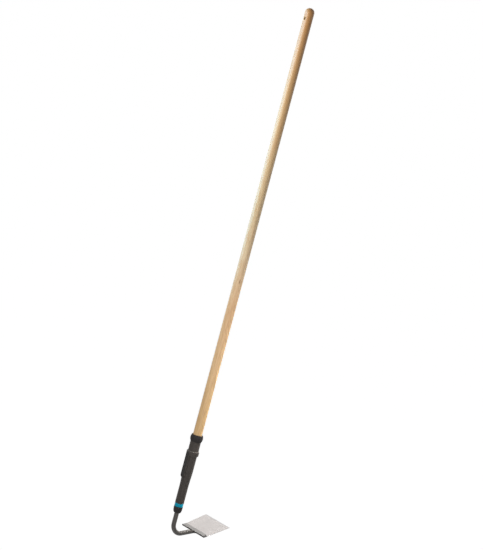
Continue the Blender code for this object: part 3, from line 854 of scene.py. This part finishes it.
NOSE_SHOULDER = RING_FOOT - 4.5 * MM
NOSE_TIP = NECK_BORE + 1.2 * MM
quarter = np.linspace(0, math.pi / 2, 30)
nose_round = np.stack(
    [
        NOSE_TIP + (GRIP_RADIUS - NOSE_TIP) * np.cos(quarter),
        NOSE_SHOULDER - (NOSE_SHOULDER - NOSE_FOOT) * np.sin(quarter),
    ],
    axis=-1,
)
seat_stop = RING_FOOT - SEAT_LENGTH - GAP
nose_inside = [(NECK_BORE + 0.3 * MM, NOSE_FOOT), (NECK_BORE, NOSE_FOOT + 0.3 * MM)]
nose_inside += [(NECK_BORE, seat_stop), (RING_BORE, seat_stop)]
nose_top = rounded(
    [
        (RING_BORE, seat_stop, 0),
        (RING_BORE, NOSE_TOP, INNER_EASE),
        (GRIP_RADIUS, NOSE_TOP, OUTER_EASE),
        (GRIP_RADIUS, NOSE_SHOULDER, 0),
    ]
)
nose_outline = np.concatenate([nose_round, nose_inside, nose_top[1:-1]])
finished(skin("nose_cone", turned(nose_outline, 128), close_rows=True), "nose", nose_plastic)

# %% [markdown]
# ## Lacquered steel
#
# The neck is a drawn steel bar, bent hot and dipped in dark grey lacquer. Lacquer pulls back from sharp
# edges and stays slightly rippled, like the skin of an orange, and knocks leave small chips that show
# the metal. The weld beads lie under the same coat. The pattern follows the bar: it reads the piece's
# own surface map, in metres round the bar and along it. Sides that face upwards get a paler tone. It
# stands in for the sheen of the lamp above, which is kept out of reflections for the blade's sake.

# %% Dark lacquer


def dark_lacquer(name, colour):
    coat = Finish(name)
    peel = coat.noise(coat.place, scale=620, detail=1.5, roughness=0.4)
    drift = coat.noise(coat.place, scale=38)
    drawn = coat.noise(coat.stretched((2200, 18, 1), source=coat.surface_map()), detail=2.0)
    dust = coat.noise(coat.place, scale=1500, roughness=0.7)
    knock = coat.noise(coat.place, scale=330, detail=4.0, roughness=0.62)
    chip = coat.math("MULTIPLY", coat.ramp(knock, 0.735, 0.75), coat.ramp(drift, 0.48, 0.6))
    upward = coat.ramp(coat.facing()["Z"], 0.15, 1.0, 0.0, 0.52)
    upward = coat.math("MULTIPLY", upward, coat.ramp(drift, 0.2, 0.7, 0.8, 1.0))
    tone = coat.mottled(coat.ramp(drift, 0.3, 0.7), colour, darker(colour, 0.88))
    tone = coat.tint(tone, (104, 98, 92), coat.ramp(drawn, 0.4, 0.7, 0.0, 0.12))
    tone = coat.tint(tone, (150, 140, 126), coat.ramp(dust, 0.6, 0.75, 0.0, 0.16))
    tone = coat.tint(tone, (132, 127, 122), upward)
    tone = coat.tint(tone, (168, 164, 158), chip)
    relief = coat.math("SUBTRACT", coat.math("MULTIPLY", peel, 0.6), chip)
    relief = coat.math("ADD", relief, coat.math("MULTIPLY", drawn, 0.25))
    return coat.wear(
        Base_Color=tone,
        Metallic=coat.math("MULTIPLY", chip, 0.9),
        Roughness=coat.ramp(dust, 0.3, 0.7, 0.48, 0.60),
        Specular_IOR_Level=0.6,
        Coat_Weight=0.2,
        Coat_Roughness=0.4,
        Normal=coat.bump(relief, 0.05 * MM),
    )


neck_lacquer = dark_lacquer("neck_lacquer", (47, 41, 36))
weld_lacquer = dark_lacquer("weld_lacquer", (44, 40, 38))

# %% [markdown]
# ## The neck
#
# The neck is one round bar. Its flattened head is locked inside the sleeve. Below the nose it runs
# straight, turns through a single bend of just over a quarter circle, and then lies forward, rising a
# little, to the blade. A sweep makes it: a row of sections, each with a centre, an outward direction and
# two half sizes. At its end the upper half is cut away. The blade's heel rests on the tongue that is
# left, and a short shelf with a slope behind it leaves room for the weld.

# %% The path of the bar
BEND_RADIUS = 31 * MM
BEND_TOP = NOSE_FOOT - 34.5 * MM
BEND_CENTRE = np.array([BEND_RADIUS, 0, BEND_TOP])
LIE_ANGLE = math.radians(12)
LIE_AHEAD = np.array([math.cos(LIE_ANGLE), 0, math.sin(LIE_ANGLE)])
LIE_LENGTH = 44 * MM
TONGUE_LENGTH, TIP_ROUND = 7 * MM, 1.5 * MM
HEAD_SIDE, HEAD_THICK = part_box("neck")[1].y, 4.4 * MM
HEAD_EASE = 0.6 * MM
SIDEWAYS = np.array([0.0, 1.0, 0.0])


def bar_sections():
    """For every section: centre, outward direction, half side, half thickness and squareness.

    The head and the straight go down the axis, the bend follows a circle and the lie its tangent.
    The head turns into a round bar by an eased share, and both ends draw in by a quarter circle.
    """
    share = np.linspace(0, 1, 9)[1:]
    head = top_of("neck") - np.array([0, HEAD_EASE, HEAD_LENGTH])
    shoulder = head[-1] - 8 * share * MM
    level = np.concatenate([head, shoulder, np.linspace(shoulder[-1] - 2 * MM, BEND_TOP, 40)])
    down = np.stack([0 * level, 0 * level, level], axis=-1)
    down_out = np.tile([-1.0, 0, 0], (len(level), 1))
    turn = np.linspace(0, math.pi / 2 + LIE_ANGLE, 60)[1:]
    bend_out = np.stack([-np.cos(turn), 0 * turn, -np.sin(turn)], axis=-1)
    bend = BEND_CENTRE + bend_out * BEND_RADIUS
    tip_turn = np.linspace(0, math.pi / 2, 6)[1:]
    tip = LIE_LENGTH + TONGUE_LENGTH - TIP_ROUND
    reach = np.concatenate([np.linspace(0, tip, 24)[1:], tip + TIP_ROUND * np.sin(tip_turn)])
    lie = bend[-1] + LIE_AHEAD * reach[:, None]
    centre = np.concatenate([down, bend, lie])
    out = np.concatenate([down_out, bend_out, np.tile(bend_out[-1], (len(reach), 1))])
    lock = np.zeros(len(centre))
    lock[:3], lock[3:11] = 1, 1 - share**2 * (3 - 2 * share)
    inset = np.zeros(len(centre))
    inset[0], inset[-5:] = HEAD_EASE, TIP_ROUND * (1 - np.cos(tip_turn))
    side = NECK_RADIUS + (HEAD_SIDE - NECK_RADIUS) * lock - inset
    thick = NECK_RADIUS + (HEAD_THICK - NECK_RADIUS) * lock - inset
    return centre, out, side, thick, 2 + lock


def bar_skin(count=64):
    """Each section is a rounded oval: powers of the cosine and sine, 2 over the squareness."""
    centre, out, side, thick, squareness = bar_sections()
    angle = np.arange(count) * 2 * math.pi / count
    power = 2 / squareness[:, None]
    across = np.sign(np.cos(angle)) * np.abs(np.cos(angle)) ** power * side[:, None]
    away = np.sign(np.sin(angle)) * np.abs(np.sin(angle)) ** power * thick[:, None]
    return centre[:, None] + across[..., None] * SIDEWAYS + away[..., None] * out[:, None]


# %% [markdown]
# ## The blade's own frame
#
# The blade and the joint are easiest to write down as distances forwards, across and up from the rear
# of the blade's underside. That frame leans by the blade's angle and hangs on the end of the neck.

# %% Places on the blade
BLADE_ANGLE = math.radians(66.5)
BLADE_LENGTH, PLATE = 95.5 * MM, 2 * MM
HEEL_LENGTH, HEEL_OPENING = 14 * MM, 1.2 * MM
HEEL = 2 * PLATE + HEEL_OPENING
lie_out = np.array([math.sin(LIE_ANGLE), 0, -math.cos(LIE_ANGLE)])
heel_middle = BEND_CENTRE + lie_out * BEND_RADIUS + LIE_AHEAD * LIE_LENGTH
FORWARD = np.array([math.sin(BLADE_ANGLE), 0, math.cos(BLADE_ANGLE)])
UPWARD = np.array([-math.cos(BLADE_ANGLE), 0, math.sin(BLADE_ANGLE)])
BLADE_REAR = heel_middle - UPWARD * HEEL / 2


def on_blade(forward, across, up):
    """A place measured from the rear of the blade's underside, as a place in the hoe's frame."""
    place = BLADE_REAR + forward[..., None] * FORWARD + across[..., None] * SIDEWAYS
    return place + up[..., None] * UPWARD


front_edge = on_blade(*np.array([BLADE_LENGTH, 0, 0])[:, None])[0]
short_by = (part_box("blade")[1].x - front_edge[0]) * 1000
print(f"the blade's front edge is {short_by:.2f} mm from its solid's")

# %% The bar, cut to its tongue
SHELF_LEVEL = 1.6 * MM
SHELF_SLOPE = math.radians(60)
BEAD_RADIUS = 1.5 * MM


def shelf_block():
    """Everything above the tongue: the heel's room, the shelf behind it, and the slope that ends it.

    It is an outline of (forward, up) in the blade's frame, drawn out across the bar.
    """
    top = 3 * NECK_RADIUS
    shelf = -GAP - 2 * (BEAD_RADIUS + GAP)
    slope_top = shelf - (top - SHELF_LEVEL) / math.tan(SHELF_SLOPE)
    outline = rounded(
        [
            (4 * TONGUE_LENGTH, -GAP, 0),
            (-GAP, -GAP, 0),
            (-GAP, SHELF_LEVEL, 0.3 * MM),
            (shelf, SHELF_LEVEL, 1.2 * MM),
            (slope_top, top, 0),
            (4 * TONGUE_LENGTH, top, 0),
        ],
        closed=True,
    )
    across = np.array([-2, 2])[:, None] * NECK_RADIUS * np.ones(len(outline))
    forward, up = (np.tile(line, (2, 1)) for line in outline.T)
    return skin("shelf_block", on_blade(forward, across, up), caps=True)


bar = skin("bar_blank", bar_skin(), caps=True)
finished(combined("gooseneck_bar", bar, shelf_block(), "DIFFERENCE"), "neck", neck_lacquer)

# %% [markdown]
# ## The blade
#
# The blade is one piece of 2 mm sheet. Its front is ground to an edge and its rear is folded over into a
# heel that stiffens it. So it is built as a ribbon: an outer line and an inner line, a sheet's thickness
# apart, run from the cutting edge back along the underside, round the fold and forward again over the
# top. Across the blade, stations give the width, and the last few draw the two lines together, which
# rounds the sheared sides.

# %% The ribbon of the blade
FOLD_DEPTH, FOLD_SQUARENESS = 1.8 * MM, 2.6
BEVEL_LENGTH, EDGE_THICKNESS = 4 * MM, 0.4 * MM
REAR_HALF = 55.5 * MM
FRONT_HALF = radius_of("blade")
HEEL_MITRE = 4.5 * MM
CORNER_ROUND, SIDE_ROUND, LEAF_ROUND = 1.2 * MM, 0.45 * MM, 0.5 * MM


def ribbon():
    """Outer and inner line of the sheet as (forward, up), and which points lie on the folded leaf.

    Round the fold both lines follow the same angle: the inner one a half circle, the outer one a
    flattened one, whose power is 2 over its squareness.
    """
    corner, bevel = BLADE_LENGTH - CORNER_ROUND, BLADE_LENGTH - BEVEL_LENGTH
    flat = np.concatenate(
        [
            BLADE_LENGTH - np.linspace(0, 1, 5) * CORNER_ROUND,
            np.linspace(corner, bevel, 5)[1:],
            np.linspace(bevel, HEEL_LENGTH, 14)[1:],
            np.linspace(HEEL_LENGTH, FOLD_DEPTH + HEEL / 2, 8)[1:],
        ]
    )
    top = np.interp(BLADE_LENGTH - flat, [0, BEVEL_LENGTH], [EDGE_THICKNESS, PLATE])
    turn = np.radians(-90 - np.linspace(0, 180, 33))
    power = 2 / FOLD_SQUARENESS
    back = FOLD_DEPTH * (1 - np.abs(np.cos(turn)) ** power)
    level = HEEL / 2 * (1 + np.sign(np.sin(turn)) * np.abs(np.sin(turn)) ** power)
    inner_back = HEEL / 2 + HEEL_OPENING / 2 * np.cos(turn)
    inner_level = HEEL / 2 + HEEL_OPENING / 2 * np.sin(turn)
    leaf = np.linspace(HEEL / 2 + 0.4 * MM, HEEL_LENGTH - LEAF_ROUND, 12)
    leaf = np.concatenate([leaf, HEEL_LENGTH - LEAF_ROUND * np.array([0.6, 0.25, 0.0])])
    pinch = PLATE * np.concatenate([np.zeros(12), [0.03, 0.12, 0.30]])
    outer = np.concatenate([[flat, 0 * flat], [back, level], [leaf, HEEL - pinch]], axis=1)
    inner = np.concatenate(
        [[flat, top], [inner_back, inner_level], [leaf, HEEL - PLATE + pinch]], axis=1
    )
    folded = np.concatenate([0 * flat, turn < math.radians(-180), 1 + 0 * leaf])
    return outer.T, inner.T, folded > 0.5


def half_width(forward, on_leaf):
    """The plate widens forwards and its front corners are rounded, and the folded leaf narrows."""
    plate = REAR_HALF + (FRONT_HALF - REAR_HALF) * forward / BLADE_LENGTH
    over = np.clip(forward - (BLADE_LENGTH - CORNER_ROUND), 0, CORNER_ROUND)
    plate = plate - (CORNER_ROUND - np.sqrt(CORNER_ROUND**2 - over**2))
    return np.where(on_leaf, REAR_HALF - HEEL_MITRE * forward / HEEL_LENGTH, plate)


def blade_skin():
    """Outer and inner surface across the blade. Near a side the two draw together by a cosine."""
    outer, inner, on_leaf = ribbon()
    half = half_width(outer[:, 0], on_leaf)
    curl = np.linspace(0, math.pi / 2, 6)
    rim, near = SIDE_ROUND * (1 - np.sin(curl)), 0.3 * (1 - np.cos(curl))
    pinch = np.concatenate([near[::-1], np.zeros(21), near])
    inset = np.concatenate([rim[::-1], np.zeros(21), rim])
    side = np.concatenate([-np.ones(6), np.linspace(-0.98, 0.98, 21), np.ones(6)])
    across = side * half[:, None] - np.sign(side) * inset
    mix = pinch[None, :, None]
    low = outer[:, None] * (1 - mix) + inner[:, None] * mix
    high = inner[:, None] * (1 - mix) + outer[:, None] * mix
    loop = np.concatenate([low, high[:, ::-1]], axis=1)
    across = np.concatenate([across, across[:, ::-1]], axis=1)
    return on_blade(loop[..., 0], across, loop[..., 1])


blade_mesh = blade_skin()
print("the blade is", blade_mesh.shape[0], "by", blade_mesh.shape[1], "points")

# %% [markdown]
# ## Brushed steel
#
# The plate is brushed across its width before it is folded, then lacquered clear. Brushing is many fine
# scratches side by side: a noise that is stretched a hundred times along the blade's width. It shows in
# the roughness and as a slight relief. The fold and the heel's sheared ends are near black with little
# shine, the folded leaf is a darker grey, and the ground edge has short marks that run the other
# way. The surface map tells these zones apart, because it counts metres along the sheet from the
# cutting edge, and the sheared ends are found by the way that they face.

# %% The blade's zones
STEEL_BRIGHT, STEEL_SOFT, STEEL_GREY = (203, 197, 194), (197, 191, 188), (206, 203, 200)
STEEL_LEAF, STEEL_EDGE, STEEL_DARK = (146, 143, 140), (176, 176, 180), (40, 38, 37)
level_front = BLADE_REAR @ FORWARD + BLADE_LENGTH
EDGE_START = level_front - BEVEL_LENGTH
HEEL_FRONT = level_front - BLADE_LENGTH + HEEL_LENGTH
FOLD_START = BLADE_LENGTH - HEEL / 2
LEAF_START = FOLD_START + HEEL
print("along the sheet the fold and the leaf start at", FOLD_START * 1000, "and", LEAF_START * 1000)

# %% The blade's finish


def brushed_steel():
    steel = Finish("blade_steel")
    level = steel.stretched((1, 1, 1), turn=(0, math.pi / 2 - BLADE_ANGLE, 0))
    forward = steel.parts(level)["X"]
    sheet = steel.parts(steel.surface_map())["Y"]
    brush = steel.noise(steel.stretched((1700, 16, 1700), source=level), roughness=0.65)
    broad = steel.noise(steel.stretched((160, 7, 160), source=level), detail=2.0)
    ground = steel.noise(steel.stretched((60, 2600, 60), source=level), detail=2.0)
    cloud = steel.noise(level, scale=34)
    ragged = steel.ramp(cloud, 0.3, 0.7, -0.7 * MM, 0.7 * MM, smooth=False)
    ragged = steel.math("ADD", sheet, ragged)
    fold = steel.ramp(ragged, FOLD_START - 1.0 * MM, FOLD_START + 0.4 * MM)
    unfolded = steel.ramp(ragged, LEAF_START - 0.6 * MM, LEAF_START + 0.8 * MM, 1.0, 0.0)
    fold = steel.math("MULTIPLY", fold, unfolded)
    sheared = steel.ramp(steel.math("ABSOLUTE", steel.facing()["Y"]), 0.5, 0.85)
    heel = steel.ramp(forward, HEEL_FRONT - 0.5 * MM, HEEL_FRONT + 0.5 * MM, 1.0, 0.0)
    fold = steel.math("MAXIMUM", fold, steel.math("MULTIPLY", sheared, heel))
    leaf = steel.ramp(sheet, LEAF_START - 0.4 * MM, LEAF_START + 0.4 * MM)
    edge = steel.ramp(forward, EDGE_START - 0.15 * MM, EDGE_START + 0.15 * MM)
    tone = steel.mottled(steel.ramp(cloud, 0.3, 0.7), STEEL_BRIGHT, STEEL_SOFT)
    tone = steel.tint(tone, STEEL_GREY, steel.ramp(brush, 0.3, 0.75, 0.0, 0.22))
    tone = steel.tint(tone, STEEL_GREY, steel.ramp(broad, 0.45, 0.75, 0.0, 0.10))
    tone = steel.tint(tone, STEEL_LEAF, steel.math("MULTIPLY", leaf, 0.85))
    tone = steel.tint(tone, STEEL_EDGE, steel.math("MULTIPLY", edge, 0.6))
    tone = steel.tint(tone, STEEL_DARK, steel.math("MULTIPLY", fold, 0.92))
    rough = steel.ramp(brush, 0.25, 0.75, 0.34, 0.50)
    rough = steel.math("ADD", rough, steel.math("MULTIPLY", fold, 0.2))
    relief = steel.blend(edge, brush, ground)
    return steel.wear(
        Base_Color=tone,
        Metallic=steel.math("SUBTRACT", 0.80, steel.math("MULTIPLY", fold, 0.78)),
        Roughness=rough,
        Specular_IOR_Level=steel.math("SUBTRACT", 0.5, steel.math("MULTIPLY", fold, 0.3)),
        Coat_Weight=steel.math("SUBTRACT", 0.15, steel.math("MULTIPLY", fold, 0.15)),
        Coat_Roughness=0.3,
        Normal=steel.bump(relief, 0.004 * MM),
    )


finished(skin("hoe_blade", blade_mesh, caps=True), "blade", brushed_steel())

# %% [markdown]
# ## The weld beads
#
# A weld is a row of small overlapping drops. One bead lies on the shelf behind the heel, straight
# across the bar. The other lies under the blade and goes round the tongue. Each path keeps one bead's
# radius and the usual gap from both pieces that it joins. The radius swells and shrinks many times
# along it, which gives the look of drops laid side by side.

# %% Weld beads
BEAD_SPAN = 11.6 * MM
BEAD_REACH = BEAD_RADIUS + GAP
DROP_LENGTH, BEAD_END = 1.7 * MM, 1.2 * MM


def evenly(forward, across, up, count):
    """Points at even steps along a line, and each one's distance from its start."""
    length = np.concatenate([[0], np.cumsum(np.hypot(np.diff(forward), np.diff(across)))])
    even = np.linspace(0, length[-1], count)
    path = np.interp(even, length, forward), np.interp(even, length, across)
    return np.stack([*path, np.full(count, up)], axis=-1), even


def upper_bead():
    """Across the shelf, leaning back a little towards its ends: a parabola."""
    share = np.linspace(-1, 1, 30)
    forward = -BEAD_REACH * (1 + 0.1 * share**2)
    return evenly(forward, share * BEAD_SPAN / 2, SHELF_LEVEL + BEAD_REACH, 100)


def lower_bead():
    """Back along one side of the tongue, round its tip and back along the other side.

    Beside the bar the bead keeps its distance from a round bar that is cut by the blade's face, so
    its place across is the root of the ring's radius squared less its height above the bar's axis
    squared.
    """
    slope = math.pi / 2 - BLADE_ANGLE - LIE_ANGLE
    above = -BEAD_REACH - HEEL / 2
    tip = (TONGUE_LENGTH + above * math.sin(slope) + BEAD_REACH) / math.cos(slope)
    corner = 1.5 * BEAD_REACH
    station = np.linspace(0.1, 0.72, 4) * (tip - corner)
    side = np.sqrt((NECK_RADIUS + BEAD_REACH) ** 2 - (above + math.tan(slope) * station) ** 2)
    swing = np.linspace(0, math.pi / 2, 9)
    forward = np.concatenate([station, tip - corner + corner * np.sin(swing)])
    across = np.concatenate([side, side[-1] - corner + corner * np.cos(swing)])
    forward = np.concatenate([forward, forward[::-1]])
    across = np.concatenate([across, -across[::-1]])
    return evenly(forward, across, -BEAD_REACH, 140)


def bead(name, path, even):
    """A tube along the path. Its radius is a drop's round front, repeated, and zero at the ends."""
    ahead = np.gradient(path, axis=0)
    ahead /= np.linalg.norm(ahead, axis=1, keepdims=True)
    up = np.array([0, 0, 1.0])
    drop = np.modf(even / DROP_LENGTH)[0]
    swell = 0.86 + 0.14 * np.sqrt(np.clip(1 - (drop - 0.35) ** 2 / 0.45, 0, 1))
    end = np.clip(np.minimum(even, even[-1] - even) / BEAD_END, 0, 1)
    radius = BEAD_RADIUS * swell * np.sqrt(1 - (1 - end) ** 2)
    angle = (np.arange(20) * 2 * math.pi / 20)[:, None]
    ring = np.cross(ahead, up)[:, None] * np.cos(angle) + up * np.sin(angle)
    place = path[:, None] + ring * radius[:, None, None]
    return skin(name, on_blade(place[..., 0], place[..., 1], place[..., 2]))


finished(bead("weld_bead_upper", *upper_bead()), "weld_upper", weld_lacquer)
finished(bead("weld_bead_lower", *lower_bead()), "weld_lower", weld_lacquer)

# %% [markdown]
# ## The screw
#
# A countersunk screw with a cross recess pins the shaft in the sleeve, in the middle of the band and on
# the front. It is zinc plated: bright and a little cloudy. The solid sleeve has a seat cut for it, and
# the sleeve of this lesson doesn't, so here the band closes over the screw's head and hides it.

# %% Plated steel


def zinc_plate():
    zinc = Finish("zinc_plate")
    cloud = zinc.noise(zinc.place, scale=700, detail=3.0)
    fine = zinc.noise(zinc.place, scale=4200, detail=2.0)
    tone = zinc.mottled(zinc.ramp(cloud, 0.35, 0.65), (190, 189, 184), (158, 158, 156))
    tone = zinc.tint(tone, (96, 90, 84), zinc.ramp(fine, 0.62, 0.78, 0.0, 0.4))
    return zinc.wear(
        Base_Color=tone,
        Metallic=1.0,
        Roughness=zinc.ramp(cloud, 0.3, 0.7, 0.26, 0.42),
        Normal=zinc.bump(fine, 0.01 * MM),
    )


# %% The screw's shape
SCREW_LOW, SCREW_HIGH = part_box("handle_screw")
SCREW_LEVEL = (SCREW_LOW.z + SCREW_HIGH.z) / 2
SCREW_FACE, SCREW_TIP = SCREW_HIGH.x, SCREW_LOW.x
SCREW_RADIUS, SHANK_RADIUS = SCREW_HIGH.y, 2.1 * MM
SCREW_RIM = SCREW_FACE - 0.5 * MM


def screw_blank():
    """The screw without its recess, turned about its own axis and laid along X."""
    outline = rounded(
        [
            (0, SCREW_FACE, 0),
            (SCREW_RADIUS, SCREW_FACE, 0.25 * MM),
            (SCREW_RADIUS, SCREW_RIM, 0.15 * MM),
            (SHANK_RADIUS, SCREW_RIM - (SCREW_RADIUS - SHANK_RADIUS), 0.4 * MM),
            (SHANK_RADIUS, SCREW_TIP + SHANK_RADIUS, 0.4 * MM),
            (0.3 * MM, SCREW_TIP, 0),
            (0, SCREW_TIP, 0),
        ]
    )
    points = turned(outline, 64)
    place = np.stack([points[..., 2], points[..., 1], SCREW_LEVEL - points[..., 0]], axis=-1)
    return skin("screw_blank", place)


def recess(turn):
    """One slot of the cross: a block that narrows inwards, turned about the screw's axis."""
    corner = np.array([[-1, -1], [1, -1], [1, 1], [-1, 1]], float)
    span = np.array([[1.1, 0.25], [2.3, 0.55]]) * MM
    depth = np.array([SCREW_FACE - 1.3 * MM, SCREW_FACE + 0.4 * MM])
    y = corner[None, :, 0] * span[:, 0, None]
    z = corner[None, :, 1] * span[:, 1, None]
    y, z = y * math.cos(turn) - z * math.sin(turn), y * math.sin(turn) + z * math.cos(turn)
    x = depth[:, None] * np.ones(4)
    return skin("recess", np.stack([x, y, SCREW_LEVEL + z], axis=-1), caps=True)


screw = combined("screw_half_cut", screw_blank(), recess(0), "DIFFERENCE")
screw = combined("cross_screw", screw, recess(math.pi / 2), "DIFFERENCE")
finished(screw, "handle_screw", zinc_plate())

# %% [markdown]
# ## Floor and background
#
# The hoe hangs free in front of a plain pale floor that lies well below it, so its soft shadow falls
# away from it. Where the camera or a shiny surface looks at the floor it adds its own pale light, which
# brings it to white and still leaves the shadow in it. The world does the same: white to the camera
# and to shiny surfaces, and a dim even grey as light on the pieces.

# %% Floor and world
FLOOR_DROP, FLOOR_HALF = 0.9, 40.0
FLOOR_ALBEDO = 0.65
WORLD_LIGHT = 0.09


def seen_directly(tree):
    """1 for rays from the camera, off shiny surfaces and through clear ones, 0 for soft light."""
    path = tree.nodes.new("ShaderNodeLightPath")
    total = path.outputs["Is Camera Ray"]
    for name in ("Is Glossy Ray", "Is Transmission Ray"):
        node = tree.nodes.new("ShaderNodeMath")
        node.operation = "MAXIMUM"
        tree.links.new(total, node.inputs[0])
        tree.links.new(path.outputs[name], node.inputs[1])
        total = node.outputs[0]
    return total


def pale_floor():
    paper = bpy.data.materials.new("pale_floor")
    paper.use_nodes = True
    tree = paper.node_tree
    tree.nodes.remove(tree.nodes["Principled BSDF"])
    matt = tree.nodes.new("ShaderNodeBsdfDiffuse")
    matt.inputs["Color"].default_value = (FLOOR_ALBEDO, FLOOR_ALBEDO, FLOOR_ALBEDO, 1)
    glow = tree.nodes.new("ShaderNodeEmission")
    both = tree.nodes.new("ShaderNodeAddShader")
    share = tree.nodes.new("ShaderNodeMath")
    share.operation = "MULTIPLY"
    share.inputs[1].default_value = 1 - FLOOR_ALBEDO * WORLD_LIGHT
    tree.links.new(seen_directly(tree), share.inputs[0])
    tree.links.new(share.outputs[0], glow.inputs["Strength"])
    tree.links.new(matt.outputs[0], both.inputs[0])
    tree.links.new(glow.outputs[0], both.inputs[1])
    tree.links.new(both.outputs[0], tree.nodes["Material Output"].inputs["Surface"])
    return paper


floor_corners = np.array([[-1, -1, 0], [1, -1, 0], [1, 1, 0], [-1, 1, 0]]) * FLOOR_HALF
floor_corners[:, 2] = CAD_LOW.z - FLOOR_DROP
floor_mesh = bpy.data.meshes.new("floor")
floor_mesh.from_pydata(floor_corners, [], [(0, 1, 2, 3)])
floor = bpy.data.objects.new("floor", floor_mesh)
bpy.context.scene.collection.objects.link(floor)
floor_mesh.materials.append(pale_floor())

world = bpy.data.worlds.new("studio")
bpy.context.scene.world = world
world.use_nodes = True
sky = world.node_tree.nodes["Background"]
sky_share = world.node_tree.nodes.new("ShaderNodeMapRange")
world.node_tree.links.new(seen_directly(world.node_tree), sky_share.inputs["Value"])
sky_share.inputs["To Min"].default_value = WORLD_LIGHT
sky_share.inputs["To Max"].default_value = 1.0
world.node_tree.links.new(sky_share.outputs["Result"], sky.inputs["Strength"])
sky.inputs["Color"].default_value = (1, 1, 1, 1)

# %% [markdown]
# ## Camera
#
# The camera stands twelve metres away with a long lens, so the shaft keeps nearly the same width from
# end to end. It stands behind the hoe and on its -Y side, ten degrees above the level, and it is rolled
# by fifteen degrees, which is why the shaft leans across the picture. The picture is 550 pixels high,
# and the sensor's width lies along that longer side.

# %% Camera
LONG_SIDE = 550
AZIMUTH, ELEVATION, ROLL = (math.radians(value) for value in (-40.73, 10.27, 14.89))
DISTANCE = 12.0
FOCAL_PIXELS = 4029.15
AIM_LEVEL, AIM_ASIDE = -0.79337, 0.00453

back = Vector(
    (
        math.sin(AZIMUTH) * math.cos(ELEVATION),
        -math.cos(AZIMUTH) * math.cos(ELEVATION),
        math.sin(ELEVATION),
    )
)
level_right = Vector((math.cos(AZIMUTH), math.sin(AZIMUTH), 0))
level_up = back.cross(level_right)
right = level_right * math.cos(ROLL) + level_up * math.sin(ROLL)
up = level_up * math.cos(ROLL) - level_right * math.sin(ROLL)
aim = Vector((0, 0, AIM_LEVEL)) + right * AIM_ASIDE

camera_data = bpy.data.cameras.new("camera")
camera_data.sensor_width = 36
camera_data.lens = FOCAL_PIXELS * camera_data.sensor_width / LONG_SIDE
camera_data.clip_start, camera_data.clip_end = 0.1, 200
camera = bpy.data.objects.new("camera", camera_data)
bpy.context.scene.collection.objects.link(camera)
turn = Matrix((right, up, back)).transposed()
camera.matrix_world = Matrix.Translation(aim + back * DISTANCE) @ turn.to_4x4()
bpy.context.scene.camera = camera
print(f"camera {camera_data.lens:.1f} mm, at", [round(value, 2) for value in camera.location])

# %% [markdown]
# ## Studio light
#
# Six soft lamps light the hoe, and none of them shows in the picture. A tall cool one stands beside the
# upper half of the shaft: it gives the pale streak there and leaves the other side warm. Two light the
# shaft and the sleeve from the camera's side. The last three lift the right side, the rear and the top
# of the blade. The blade would mirror those three as hard light patches, so they are kept out of
# reflections, and what shines in it is the pale surroundings. A grid, here a spread of less than 180
# degrees, keeps a beam off the pieces that it isn't meant for.

# %% Lamps
COOL = (0.60, 1.20, 1.82)


def softbox(name, place, target, size, power, spread=180, colour=(1, 1, 1), mirrored=True):
    """A lamp of a width and height that faces its target, its beam within spread degrees."""
    data = bpy.data.lights.new(name, "AREA")
    data.shape = "RECTANGLE"
    data.size, data.size_y = size
    data.energy, data.color = power, colour
    data.spread = math.radians(spread)
    lamp = bpy.data.objects.new(name, data)
    bpy.context.scene.collection.objects.link(lamp)
    lamp.visible_camera, lamp.visible_glossy = False, mirrored
    lamp.location = place
    lamp.rotation_mode = "QUATERNION"
    lamp.rotation_quaternion = (Vector(place) - Vector(target)).to_track_quat("Z", "Y")


def beside(degrees, distance, level):
    """A place at a level, turned by degrees to the right of the camera, seen from above."""
    angle = AZIMUTH + math.radians(degrees)
    return Vector((math.sin(angle) * distance, -math.cos(angle) * distance, level))


softbox("upper_left", beside(-92, 0.8, -0.19), (0, 0, -0.19), (0.8, 1.2), 2.95, 90, COOL)
softbox("upper_front", beside(-50, 1.2, -0.15), (0, 0, -0.20), (0.5, 0.7), 11.6)
softbox("lower_front", beside(0, 1.6, -1.20), (0, 0, -1.20), (1.2, 1.0), 9.3)
softbox("lower_right", beside(70, 1.6, -0.90), (0, 0, -0.90), (1.0, 0.7), 1.15, 60, mirrored=False)
softbox("back", beside(180, 2.6, -1.75), (0, 0, -0.80), (0.8, 0.5), 8.4, 75, mirrored=False)
softbox("overhead", (0.50, -0.20, -0.45), (0.10, 0, -1.58), (0.5, 0.5), 2.6, 50, mirrored=False)

# %% Picture settings and the last line
scene = bpy.context.scene
scene.view_settings.view_transform = "Standard"
